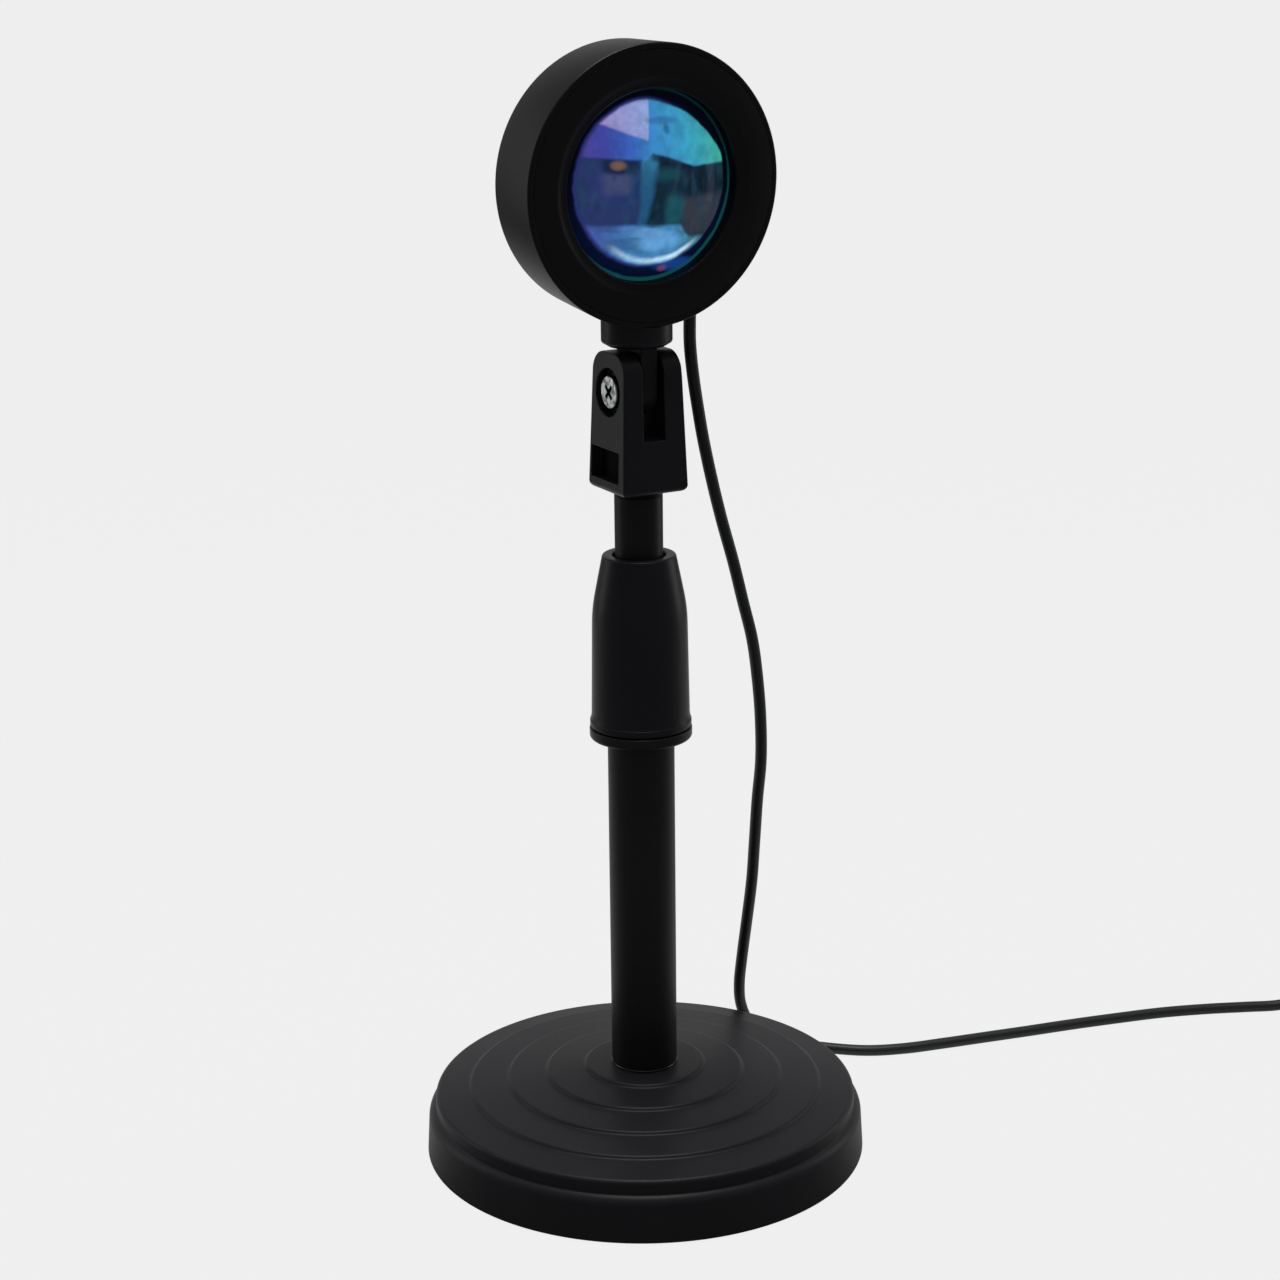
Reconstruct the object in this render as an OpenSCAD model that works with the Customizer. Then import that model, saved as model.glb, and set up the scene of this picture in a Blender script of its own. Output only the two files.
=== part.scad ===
// Sunset projection lamp: a drum head with a dome lens, on a tilting clip,
// on a rod that slides in a post, on a round weighted base.
// Millimetres. +Z is up, the lamp faces -Y, and the origin is on the table
// under the middle of the base.

/* [Base] */
// Diameter of the base where the skirt meets the table
base_d = 150; // [130:1:190]
// Height of the shoulder at the top of the skirt
skirt_h = 16.2; // [15.5:0.1:18.4]
// Radius of the rounded edge of the skirt
skirt_edge = 3.8; // [1.6:0.1:4]
// Width of the shoulder between the skirt and the top plate
shoulder_w = 3.2; // [2.8:0.1:6]
// Height of the top plate
plate_h = 20.9; // [19.5:0.1:23]
// Height of the hub that the post stands on
hub_h = 30.2; // [30:0.1:36]
// Number of raised terraces on the top plate
terraces = 4; // [2:1:4]
// Height of each terrace above the one outside it
terrace_rise = 2.15; // [2.05:0.05:2.3]
// How much each terrace climbs towards the step inside it
tread_slope = 1; // [0.5:0.1:1.2]
// Radius of the edge of the innermost terrace
hub_r = 21.4; // [20:0.1:24]
// Width of each terrace
terrace_w = 13.2; // [10:0.1:13.6]
// Sheet thickness of the shell
shell_wall = 1.2; // [0.8:0.1:1.4]
// Height of the shell's lower edge above the table
shell_lift = 0.6; // [0.3:0.1:1]
// Thickness of the cast disc
weight_t = 8.5; // [6:0.5:9]
// Thickness of the pad under the disc
pad_t = 2; // [1.5:0.1:3]

/* [Post] */
// Diameter of the lower tube
tube_d = 22.2; // [20:0.1:25]
// Wall of the lower tube
tube_wall = 1.2; // [0.8:0.1:1.5]
// Length of the lower tube
tube_l = 140.8; // [110:0.1:200]
// Thickness of the washer under the tube's foot
foot_washer_t = 0.8; // [0.5:0.1:1.5]
// Length of the threaded plug in the tube's foot
foot_plug_l = 21; // [18:0.5:30]
// Length of the bolt's shank
bolt_l = 40; // [38:1:42]
// Diameter of the bolt's shank
bolt_d = 8; // [6:1:8]
// Diameter of the collar ring
collar_d = 34; // [33:0.1:38]
// Height of the collar ring
collar_t = 3.7; // [3:0.1:6]
// Height of the collar's threaded spigot
spigot_h = 21; // [16:0.5:23]
// Wall of the spigot
spigot_wall = 1.9; // [1.5:0.1:2.2]
// Dark gap between the collar ring and the sleeve
groove = 0.5; // [0.3:0.1:1]
// Height of the twist sleeve
sleeve_h = 58; // [54:0.5:70]
// Diameter of the sleeve's foot
sleeve_foot_d = 33.6; // [33:0.1:36]
// Diameter of the sleeve above its foot
sleeve_low_d = 32.5; // [31.8:0.1:33]
// Diameter of the sleeve below its cone
sleeve_high_d = 31.3; // [30.5:0.1:31.8]
// Diameter of the sleeve's top
sleeve_top_d = 24.4; // [22.5:0.1:26]
// Height of the sleeve's cone
sleeve_cone_h = 18.3; // [14:0.1:22]
// Gap between the sleeve's top and the rod
mouth_gap = 0.9; // [0.7:0.1:1.2]
// Wall of the collet's grip at its thin end
collet_wall = 1.2; // [1:0.1:1.5]

/* [Rod] */
// Diameter of the sliding rod
rod_d = 15.8; // [14.4:0.1:16.2]
// Wall of the rod
rod_wall = 1; // [0.8:0.1:1.5]
// Length of rod that shows when it is right down
rod_show = 21.7; // [15:0.1:40]
// Height of the bush on the rod's foot
bush_h = 16; // [12:0.5:18]
// Diameter of the stud on the rod's top
stud_d = 9.5; // [8:0.1:9.6]
// Height of the stud above its shoulder
stud_l = 12.3; // [9:0.1:12.6]

/* [Clip] */
// Width of the clip at its foot
clip_foot_w = 23.8; // [23:0.1:25]
// Width of the clip at its top
clip_top_w = 20.7; // [20:0.1:22]
// Height of the clip
clip_h = 45.4; // [45:0.1:50]
// Radius of the clip's top corners
clip_round = 7; // [6.6:0.1:9]
// Width of the slot
slot_w = 7.7; // [7:0.1:8.4]
// Height of the slot's floor above the clip's foot
slot_floor = 17.5; // [17.2:0.1:20]
// Height of the hinge above the clip's foot
hinge_up = 32.6; // [32.3:0.1:32.8]
// Diameter of the counterbore round the screw's head
counterbore_d = 15.6; // [12:0.1:16]
// Diameter of the screw's head
screw_head_d = 10.4; // [9:0.1:10.8]
// Height of the screw's head
screw_head_t = 3.1; // [2.4:0.1:3.3]
// Diameter of the hinge screw
hinge_screw_d = 4.9; // [4:0.1:5]
// Height of the side windows
window_h = 10.1; // [8:0.1:10.6]
// Height of the windows' sill above the clip's foot
window_sill = 4; // [3:0.1:4.6]
// Depth of the windows
window_depth = 3.6; // [2:0.1:3.8]

/* [Head] */
// Diameter of the neck
neck_d = 22.9; // [20:0.1:24]
// Gap between the clip's top and the neck
neck_gap = 1.5; // [1.4:0.1:2.5]
// Radius of the neck's tongue round the hinge
tongue_r = 8; // [6:0.1:9]
// Height of the drum's middle above the hinge
drum_up = 65.9; // [65:0.1:70]
// Diameter of the drum's face
face_d = 88.4; // [87.6:0.1:92]
// Diameter of the drum's back
back_d = 86; // [85.6:0.1:88]
// Depth of the drum
drum_t = 26.3; // [26:0.1:30]
// Wall of the housing at its back
housing_wall = 2.1; // [1.8:0.1:2.4]
// How far the face looks down
face_droop = 2.7; // [0:0.1:4]
// Diameter of the opening in the face
opening_d = 60; // [56:0.1:61]
// Depth of the lens's rim behind the face
lens_recess = 5.6; // [4:0.1:7]
// Radius of curvature of the lens
lens_curve = 48; // [42:0.5:60]
// Thickness of the lens at its edge
lens_edge_t = 3; // [2:0.1:3.2]
// Thickness of the bezel's face
bezel_t = 2.5; // [2:0.1:4]
// Thickness of the back cover
cover_t = 2; // [1.8:0.1:2.4]
// Thickness of the heat spreader
spreader_t = 3; // [2:0.1:3.2]

/* [Cord] */
// Diameter of the cord
cord_d = 4.1; // [3:0.1:4.2]
// Turns in the stored coil
coil_turns = 6.5; // [4.5:0.5:6.5]
// Length of the switch on the cord
switch_l = 36; // [32:1:44]
// Width of the switch
switch_w = 13; // [12:0.5:16]
// Height of the switch
switch_h = 9.5; // [9.2:0.1:11]
// Diameter of the button
button_d = 7; // [5:0.1:8]
// Length of the plug's moulded body
plug_l = 22; // [18:1:30]

/* [Hidden] */
$fn = 96;

// Clearances
fit = 0.05;        // round a thread or a pressed piece
running = 0.1;     // round a piece that slides or turns
slip = 0.3;        // between pieces on different moving bodies
over = 1;          // how far a cutter runs past what it cuts

// Colours
powder_black = [0.05, 0.05, 0.055];
plastic_black = [0.07, 0.07, 0.08];
satin_black = [0.09, 0.09, 0.1];
rubber_black = [0.03, 0.03, 0.03];
zinc = [0.75, 0.76, 0.78];
steel = [0.6, 0.61, 0.63];
brass = [0.78, 0.62, 0.3];
glass_teal = [0.2, 0.65, 0.75, 0.6];

// Base
base_r = base_d / 2;
plate_r = base_r - shoulder_w;
step_fillet = 0.5;
step_round = 1.5;
step_bend = shell_wall + 0.1;
step_lap = 1;
arc_steps = 6;
weight_gap = 0.5;
weight_r = base_r - shell_wall - weight_gap;
boss_r = 15;
bolt_r = bolt_d / 2;
bolt_clearance = 0.3;
bolt_head_t = 5.3;
bolt_head_af = 13;
bolt_washer_r = 8.4;
bolt_washer_t = 1.6;
bolt_pocket_r = bolt_washer_r + 0.8;
bolt_seat_z = pad_t + weight_t + 0.5;
shell_chamfer = 0.2;

// Post
tube_r = tube_d / 2;
bore_r = tube_r - tube_wall;
tube_z = hub_h + foot_washer_t;
tube_top = tube_z + tube_l;
collar_top = tube_top - spigot_h;
collar_z = collar_top - collar_t;
collar_round = 1;
spigot_r = tube_r + fit + spigot_wall;
sleeve_z = collar_top + groove;
sleeve_top = sleeve_z + sleeve_h;
sleeve_bore_r = spigot_r + running;
rod_r = rod_d / 2;
mouth_r = rod_r + mouth_gap;
cone_z = tube_top + 4.7;         // foot of the cone inside the sleeve
cone_r = spigot_r - 0.4;
cone_top_z = sleeve_top - 9;
cone_top_r = mouth_r + 0.2;
collet_gap = 0.15;
collet_travel = 1;               // how far the collet drops when it is let go
collet_z = tube_top + collet_travel + slip;
slit_w = 1.2;
slit_count = 4;

// Rod
plug_top = tube_z + foot_plug_l;
bush_z = plug_top + slip;
bush_floor = 2;
rod_z = bush_z + bush_floor;
clip_z = sleeve_top + rod_show;
shoulder_t = 1.5;
rod_top = clip_z - slip - shoulder_t;
stud_r = stud_d / 2;
stud_top = clip_z - slip + stud_l;
stud_plug_l = 12;

// Clip
hinge_z = clip_z + hinge_up;
clip_top = clip_z + clip_h;
taper = atan((clip_foot_w - clip_top_w) / 2 / clip_h);
corner_steps = 10;
hinge_half_w = clip_half(hinge_up);
screw_r = hinge_screw_d / 2;
screw_flush = 0.3;               // how far the head sits behind the clip's side
screw_seat_x = hinge_half_w - screw_flush - screw_head_t;
nut_af = 8;
nut_t = 4;
nut_seat_x = hinge_half_w - 0.8 - nut_t;
cross_w = 1.3;
cross_l = 5.8;
cross_depth = 1.7;
hinge_washer_t = 0.5;
hinge_washer_r = 6.5;
washer_air = 0.1;
tongue_w = slot_w - 2 * (hinge_washer_t + 2 * washer_air);
insert_wall = 1.15;
insert_r = stud_r + running / 2 + insert_wall;
insert_z = clip_z + 0.6;
insert_top = clip_z + min(stud_l + 0.7, slot_floor - 2);
window_front = 3.7;              // wall left in front of the window
window_back = 1.5;               // wall left behind it

// Head
neck_r = neck_d / 2;
neck_z = clip_top + neck_gap;
neck_chamfer = 2;
drum_z = hinge_z + drum_up;
face_r = face_d / 2;
back_r = back_d / 2;
half_t = drum_t / 2;
cavity_r = back_r - housing_wall;
back_round = 2;
edge_break = 0.4;
bezel_r = face_r - 1.9;
opening_r = opening_d / 2;
dish_w = 3.8;
dish_depth = 1.1;
lip_r = opening_r + 1.6;
lens_r = lip_r - 0.2;
dome_r = opening_r - 0.4;
gasket_t = 0.6;
bezel_tube_r = lip_r + 1.8;
lens_front = half_t - lens_recess - gasket_t;
lens_back = lens_front - lens_edge_t;
filter_t = 0.3;
retainer_t = 2.9;
retainer_z = lens_back - filter_t - retainer_t;
retainer_bore_r = opening_r - 1.5;
bezel_tube_z = retainer_z - 0.2;
cover_face = -half_t + cover_t;
board_z = cover_face + spreader_t;
board_t = 1.6;
board_r = 24;
board_top = board_z + board_t;
led_t = 0.8;
led_r = 5.5;
reflector_wall = 0.8;
reflector_foot_r = 8;
reflector_rim_r = retainer_bore_r - 1.5;
reflector_top = lens_back - filter_t - 0.6;
screw_ring_r = 20.5;
post_r = 3.8;                    // posts for the back cover's screws
post_ring_r = cavity_r - 3.5;
post_top = cover_face + 6.7;
spreader_r = post_ring_r - post_r - 0.6;
small_screw_r = 1.25;
small_head_r = 2.6;
small_head_t = 1.4;
neck_screw_x = 5.5;
neck_screw_r = 1.4;
neck_screw_seat = drum_z - cavity_r + 1;
neck_screw_l = 8;

// Cord inside the head
cord_r = cord_d / 2;
cord_x = 19.5;
exit_z = drum_z - 42.7;
grommet_r = 3;
flange_r = 4.4;
flange_t = 1.4;
flange_z = drum_z - sqrt(pow(cavity_r, 2) - pow(cord_x + flange_r, 2)) + 0.2;
clamp_r = 3.2;
clamp_t = 1.5;
inner_top = flange_z + flange_t + clamp_t + 0.6;
lead_r = 0.55;
lead_gap = 0.8;

// Cord outside: points chosen by hand, from the exit to the switch
cord_sides = 8;
cord_steps = 2;
cord_lift = 0.1;
lie_z = cord_r + cord_lift;
switch_at = [302, -48];
switch_yaw = -28;
dir_x = cos(switch_yaw);
dir_y = sin(switch_yaw);
side_x = -sin(switch_yaw);
side_y = cos(switch_yaw);
switch_axis_z = 4.75;
relief_l = 8;
relief_foot_r = 3.4;
relief_tip_r = 2.5;
lead_in = 8;
run_points = [
    [19.5, 0, exit_z - slip], [19.5, 0, 277], [20.5, 0, 267], [22.5, 0.5, 256],
    [25, 1, 244], [28.5, 1.5, 230], [33, 3, 216], [38, 4, 201],
    [43, 6, 186], [48, 8, 171], [52, 11, 155], [55, 14, 140],
    [57, 17, 124], [58, 21, 108], [59, 24.5, 91], [60, 28, 75],
    [61, 33, 58], [62, 38, 42], [63.5, 42.5, 29], [66, 45.5, 19],
    [70, 46, 10.5], [76, 43.5, 4.7], [84, 37, lie_z + 0.3], [93, 27.5, lie_z],
    [104, 18.5, lie_z], [117, 13, lie_z], [132, 9.5, lie_z], [149, 6, lie_z],
    [166, 2.5, lie_z], [184, -1, lie_z], [202, -5, lie_z], [220, -9.5, lie_z],
    [237, -15.5, lie_z], [251, -21.5, lie_z], [262, -27, lie_z + 0.4]
];
run_route = concat(
    run_points,
    [switch_end(-lead_in), switch_end(0)]
);

// Coil, from the link to the tail
coil_sides = 6;
coil_rings = 24;
turn_pitch = cord_d + 0.5;
coil_mid_r = 20.5;
turns_per_layer = coil_turns / 2;
coil_in_r = coil_mid_r - turns_per_layer * turn_pitch / 2;
coil_out_r = coil_mid_r + turns_per_layer * turn_pitch / 2;
coil_z = cord_r + 0.8;
link_l = 12.4;
tail_l = 26;
coil_start = switch_out(relief_l + link_l);
coil_centre = switch_out(relief_l + link_l + cord_d) - coil_out_r * [side_x, side_y, 0];
coil_end_angle = switch_yaw + 90 - 360 * coil_turns;
tie_w = 6;
tie_t = 0.55;
tie_air = 0.15;
tie_angle = switch_yaw + 10;

// Switch
switch_wall = 1.2;
switch_split = switch_axis_z;
button_r = button_d / 2;
button_up = 1.4;
button_flange = 0.8;
button_flange_t = 1.1;
button_travel = 1.2;
core_l = 12;
core_w = 8.6;
core_z = switch_wall + cord_lift;
core_top = switch_h - switch_wall - button_flange_t - button_travel - slip;

// Plug
plug_relief_l = 12;
plug_w = 15.6;
plug_h = 7.8;
plug_axis_z = plug_h / 2 + cord_lift;
plug_round = 2;
usb_w = 12;
usb_h = 4.5;
usb_l = 12;
usb_wall = 0.3;
usb_root = 4;
tongue_air = 0.2;
contact_count = 4;
contact_pitch = 2.2;
contact_w = 1;
contact_t = 0.15;

// ---- helpers ----

// Half width of the clip at a height above its foot
function clip_half(up) = clip_foot_w / 2 - up * tan(taper);

// Points of an arc in a profile
function arc(centre, r, from, to, steps = arc_steps) =
    [for (i = [0:steps])
        let (a = from + (to - from) * i / steps)
        centre + r * [cos(a), sin(a)]];

function reversed(list) = [for (i = [len(list) - 1:-1:0]) list[i]];

function unit(v) = v / norm(v);

// A point on the switch's axis beyond its relief on the lamp's side or the far side
function switch_end(along) =
    [switch_at[0] + (along - switch_l / 2 - relief_l) * dir_x,
     switch_at[1] + (along - switch_l / 2 - relief_l) * dir_y,
     switch_axis_z];
function switch_out(along) =
    [switch_at[0] + (along + switch_l / 2) * dir_x,
     switch_at[1] + (along + switch_l / 2) * dir_y,
     0];

// A point of the head's frame, in the drum's own frame
function to_drum(p) =
    let (up = p[2] - drum_z)
    [p[0],
     -p[1] * sin(face_droop) + up * cos(face_droop),
     -p[1] * cos(face_droop) - up * sin(face_droop)];

// Catmull-Rom curve through route points
function spline(a, b, c, d, t) =
    0.5 * (2 * b + (c - a) * t + (2 * a - 5 * b + 4 * c - d) * t * t
        + (3 * b - a - 3 * c + d) * t * t * t);
function smooth_route(p, steps) =
    let (n = len(p))
    concat(
        [for (i = [0:n - 2], s = [0:steps - 1])
            spline(
                i == 0 ? 2 * p[0] - p[1] : p[i - 1],
                p[i], p[i + 1],
                i == n - 2 ? 2 * p[n - 1] - p[n - 2] : p[i + 2],
                s / steps)],
        [p[n - 1]]);

// A level path between two heights that leaves and arrives level
function level_link(a, b, steps) =
    [for (i = [0:steps])
        let (t = i / steps, ease = t * t * (3 - 2 * t))
        [a[0] + (b[0] - a[0]) * t, a[1] + (b[1] - a[1]) * t, a[2] + (b[2] - a[2]) * ease]];

function tangent(path, i) =
    let (n = len(path))
    unit(path[min(i + 1, n - 1)] - path[max(i - 1, 0)]);

function path_length(p) =
    len(p) < 2 ? 0 : sum_steps(p, 0);
function sum_steps(p, i) =
    i >= len(p) - 1 ? 0 : norm(p[i + 1] - p[i]) + sum_steps(p, i + 1);

// Tube of flat sides along a path; up is never along the path
module tube_along(path, r, sides, up, start_dir, end_dir) {
    n = len(path);
    points = [for (i = [0:n - 1])
        let (t = i == 0 ? start_dir : i == n - 1 ? end_dir : tangent(path, i),
             a = unit(cross(up, t)),
             b = cross(t, a))
        for (k = [0:sides - 1])
            path[i] + r * (cos(360 * k / sides) * a + sin(360 * k / sides) * b)];
    walls = [for (i = [0:n - 2], k = [0:sides - 1], half = [0, 1])
        let (k2 = (k + 1) % sides,
             p = i * sides + k, q = i * sides + k2,
             s = (i + 1) * sides + k2, t = (i + 1) * sides + k)
        half == 0 ? [p, s, q] : [p, t, s]];
    near_cap = [for (k = [1:sides - 2]) [0, k, k + 1]];
    far_cap = [for (k = [1:sides - 2])
        [(n - 1) * sides, (n - 1) * sides + k + 1, (n - 1) * sides + k]];
    polyhedron(points, concat(walls, near_cap, far_cap));
}

// Ring of rectangular section
module ring(outer, inner, h) {
    difference() {
        cylinder(h = h, r = outer);
        translate([0, 0, -over]) cylinder(h = h + 2 * over, r = inner);
    }
}

// Rounded rectangle, from squares and corner circles
module rounded_plate(l, w, r, h) {
    linear_extrude(h) {
        square([l - 2 * r, w], center = true);
        square([l, w - 2 * r], center = true);
        for (x = [-1, 1], y = [-1, 1])
            translate([x * (l / 2 - r), y * (w / 2 - r)]) circle(r = r);
    }
}

module about_hinge(from_x, r, l, sides = 96) {
    translate([from_x, 0, hinge_z]) rotate([0, 90, 0]) cylinder(h = l, r = r, $fn = sides);
}

module in_drum() {
    translate([0, 0, drum_z]) rotate([90 + face_droop, 0, 0]) children();
}

module at_switch() {
    translate([switch_at[0], switch_at[1], 0]) rotate([0, 0, switch_yaw]) children();
}

module at_plug() {
    translate([tail_end[0], tail_end[1], plug_axis_z])
        rotate([0, 0, coil_end_angle - 90]) children();
}

// ---- base ----

// The skirt's rounded edge, the hollow it runs into and the plate's riser, thickened inwards
function shoulder(inset) =
    let (edge_at = [base_r - shell_chamfer - skirt_edge, skirt_h - skirt_edge],
        reach = skirt_edge + step_fillet,
        turn = acos(max(0, (plate_r + step_fillet - edge_at.x) / reach)))
    concat(
        arc(edge_at, skirt_edge - inset, 0, turn),
        arc([plate_r + step_fillet, edge_at.y + reach * sin(turn)],
            step_fillet + inset, 180 + turn, 180),
        arc([plate_r - step_round, plate_h - step_round], step_round - inset, 0, 90)
    );
// Soft step up to a terrace: a hollow and a round that meet in an S, thickened inwards
function terrace_step(r, top, inset) =
    let (rise = terrace_rise - tread_slope,
        turn = acos(1 - rise / (2 * step_bend)),
        half = step_bend * sin(turn))
    concat(
        arc([r - step_lap + half, top - rise + step_bend], step_bend + inset, 270, 270 - turn),
        arc([r - step_lap - half, top - step_bend], step_bend - inset, 90 - turn, 90)
    );
function terrace_top(i) = hub_h - (terraces - i) * terrace_rise;
function terrace_r(i) = hub_r + (terraces - i) * terrace_w;
function shell_profile(inset) = concat(
    [[base_r - inset, shell_lift]],
    shoulder(inset),
    [for (i = [1:terraces]) each terrace_step(terrace_r(i), terrace_top(i), inset)],
    [[bolt_r + bolt_clearance, hub_h - inset]]
);

module base_shell() {
    color(powder_black)
        rotate_extrude() polygon(concat(shell_profile(0), reversed(shell_profile(shell_wall))));
}

module base_weight() {
    color(steel)
        difference() {
            union() {
                translate([0, 0, pad_t]) cylinder(h = weight_t, r = weight_r);
                translate([0, 0, pad_t]) cylinder(h = hub_h - shell_wall - pad_t, r = boss_r);
            }
            cylinder(h = bolt_seat_z, r = bolt_pocket_r);
            cylinder(h = hub_h, r = bolt_r + bolt_clearance);
        }
}

module base_pad() {
    color(rubber_black) ring(weight_r, bolt_pocket_r + 1, pad_t);
}

module base_bolt() {
    head_z = bolt_seat_z - bolt_washer_t - bolt_head_t;
    color(zinc) {
        translate([0, 0, head_z])
            cylinder(h = bolt_head_t, r = bolt_head_af / 2 / cos(30), $fn = 6);
        translate([0, 0, head_z]) cylinder(h = bolt_head_t + bolt_l, r = bolt_r);
    }
}

module bolt_washer() {
    color(zinc)
        translate([0, 0, bolt_seat_z - bolt_washer_t])
            ring(bolt_washer_r, bolt_r + bolt_clearance, bolt_washer_t);
}

// ---- post ----

module foot_washer() {
    color(satin_black)
        translate([0, 0, hub_h]) ring(tube_r + 0.2, bolt_r + bolt_clearance, foot_washer_t);
}

module foot_plug() {
    color(steel)
        translate([0, 0, tube_z])
            difference() {
                cylinder(h = foot_plug_l, r = bore_r - fit);
                translate([0, 0, -over]) cylinder(h = foot_plug_l, r = bolt_r + fit);
            }
}

module outer_tube() {
    color(powder_black) translate([0, 0, tube_z]) ring(tube_r, bore_r, tube_l);
}

module collar_ring() {
    collar_r = collar_d / 2;
    color(plastic_black)
        rotate_extrude() polygon(concat(
            [[tube_r + fit, collar_z]],
            arc([collar_r - collar_round, collar_z + collar_round], collar_round, 270, 360),
            [[collar_r, collar_top - edge_break], [collar_r - edge_break, collar_top]],
            [[spigot_r, collar_top], [spigot_r, tube_top], [tube_r + fit, tube_top]]
        ));
}

// Radius of the cone inside the sleeve at a height
function cone_at(z) = cone_r + (cone_top_r - cone_r) * (z - cone_z) / (cone_top_z - cone_z);

module collet() {
    grip_r = rod_r + 0.06;
    thin_r = grip_r + collet_wall + collet_gap;
    thin_z = cone_z + (thin_r - cone_r) / (cone_top_r - cone_r) * (cone_top_z - cone_z);
    collet_top = min(thin_z, cone_top_z);
    color(satin_black)
        difference() {
            rotate_extrude() polygon([
                [grip_r, collet_z],
                [cone_r - collet_gap, collet_z],
                [cone_r - collet_gap, cone_z],
                [cone_at(collet_top) - collet_gap, collet_top],
                [grip_r, collet_top]
            ]);
            for (i = [0:slit_count / 2 - 1])
                rotate([0, 0, i * 360 / slit_count])
                    translate([-2 * rod_d, -slit_w / 2, cone_z + 1])
                        cube([4 * rod_d, slit_w, sleeve_h]);
        }
}

module twist_sleeve() {
    foot_r = sleeve_foot_d / 2;
    low_r = sleeve_low_d / 2;
    high_r = sleeve_high_d / 2;
    top_r = sleeve_top_d / 2;
    foot_h = 2.4;
    flare_h = 2.2;
    shoulder_z = sleeve_top - sleeve_cone_h;
    cone_lean = atan((high_r - top_r) / sleeve_cone_h);
    top_round = 0.8;
    color(plastic_black)
        rotate_extrude() polygon(concat(
            [[sleeve_bore_r, sleeve_z],
             [foot_r - edge_break, sleeve_z],
             [foot_r, sleeve_z + edge_break],
             [foot_r, sleeve_z + foot_h]],
            [for (t = [0.25, 0.5, 0.75, 1])
                [foot_r - (foot_r - low_r) * sin(90 * t), sleeve_z + foot_h + flare_h * t]],
            [[high_r, shoulder_z]],
            arc([top_r - top_round, sleeve_top - top_round], top_round, cone_lean, 90),
            [[mouth_r + edge_break, sleeve_top],
             [mouth_r, sleeve_top - edge_break],
             [mouth_r, cone_top_z],
             [cone_top_r, cone_top_z],
             [cone_r, cone_z],
             [sleeve_bore_r, cone_z]]
        ));
}

// ---- rod ----

module inner_rod() {
    color(powder_black)
        translate([0, 0, rod_z]) ring(rod_r, rod_r - rod_wall, rod_top - rod_z);
}

module rod_bush() {
    color([0.85, 0.85, 0.82])
        translate([0, 0, bush_z])
            difference() {
                cylinder(h = bush_h, r = bore_r - running);
                translate([0, 0, bush_floor]) cylinder(h = bush_h, r = rod_r + fit);
            }
}

module rod_stud() {
    color(zinc) {
        translate([0, 0, rod_top - stud_plug_l])
            cylinder(h = stud_plug_l, r = rod_r - rod_wall - fit);
        translate([0, 0, rod_top]) cylinder(h = shoulder_t, r = rod_r);
        translate([0, 0, rod_top]) cylinder(h = stud_top - rod_top, r = stud_r);
    }
}

// ---- clip ----

// Side outline of the clip, with rounded or square top corners
module clip_outline(round) {
    centre_up = clip_h - round;
    centre_x = clip_half(centre_up) - round / cos(taper);
    right = round > 0
        ? arc([centre_x, centre_up], round, taper, 90, corner_steps)
        : [[clip_top_w / 2, clip_h]];
    polygon(concat(
        [[clip_foot_w / 2, 0]],
        right,
        [for (p = reversed(right)) [-p[0], p[1]]],
        [[-clip_foot_w / 2, 0]]
    ));
}

module clip_window() {
    deep = clip_half(window_sill + window_h / 2);
    front = -deep + window_front;
    back = deep - window_back;
    translate([deep - window_depth, front, clip_z + window_sill])
        cube([clip_foot_w, back - front, window_h]);
}

module clip_body() {
    color(plastic_black)
        difference() {
            translate([0, 0, clip_z])
                intersection() {
                    rotate([90, 0, 90])
                        translate([0, 0, -clip_foot_w])
                            linear_extrude(2 * clip_foot_w) clip_outline(clip_round);
                    rotate([90, 0, 0])
                        translate([0, 0, -clip_foot_w])
                            linear_extrude(2 * clip_foot_w) clip_outline(0);
                }
            translate([-slot_w / 2, -clip_foot_w, clip_z + slot_floor])
                cube([slot_w, 2 * clip_foot_w, clip_h]);
            about_hinge(-clip_foot_w, screw_r + running, 2 * clip_foot_w);
            about_hinge(-clip_foot_w, counterbore_d / 2, clip_foot_w - screw_seat_x);
            about_hinge(nut_seat_x, (nut_af / 2 + 0.15) / cos(30), clip_foot_w, 6);
            clip_window();
            mirror([1, 0, 0]) clip_window();
            translate([0, 0, clip_z - over])
                cylinder(h = insert_top - clip_z + over, r = insert_r + fit);
        }
}

module thread_insert() {
    groove_t = 1;
    color(brass)
        difference() {
            translate([0, 0, insert_z]) ring(insert_r, stud_r + running / 2, insert_top - insert_z);
            for (share = [0.35, 0.65])
                translate([0, 0, insert_z + share * (insert_top - insert_z) - groove_t / 2])
                    ring(insert_r + over, insert_r - 0.4, groove_t);
        }
}

module hinge_screw() {
    color(zinc)
        difference() {
            union() {
                about_hinge(-screw_seat_x - screw_head_t, screw_head_d / 2, screw_head_t);
                about_hinge(-screw_seat_x, screw_r, screw_seat_x + nut_seat_x + nut_t + 0.4);
            }
            for (turn = [45, 135])
                translate([-screw_seat_x - screw_head_t, 0, hinge_z])
                    rotate([turn, 0, 0])
                        cube([2 * cross_depth, cross_l, cross_w], center = true);
        }
}

module hinge_nut() {
    color(zinc)
        difference() {
            about_hinge(nut_seat_x, nut_af / 2 / cos(30), nut_t, 6);
            about_hinge(nut_seat_x - over, screw_r + fit, nut_t + 2 * over);
        }
}

module hinge_washers() {
    color([0.8, 0.8, 0.78])
        for (x = [-slot_w / 2 + washer_air, slot_w / 2 - washer_air - hinge_washer_t])
            difference() {
                about_hinge(x, hinge_washer_r, hinge_washer_t);
                about_hinge(x - over, screw_r + running, hinge_washer_t + 2 * over);
            }
}

// ---- head ----

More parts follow.
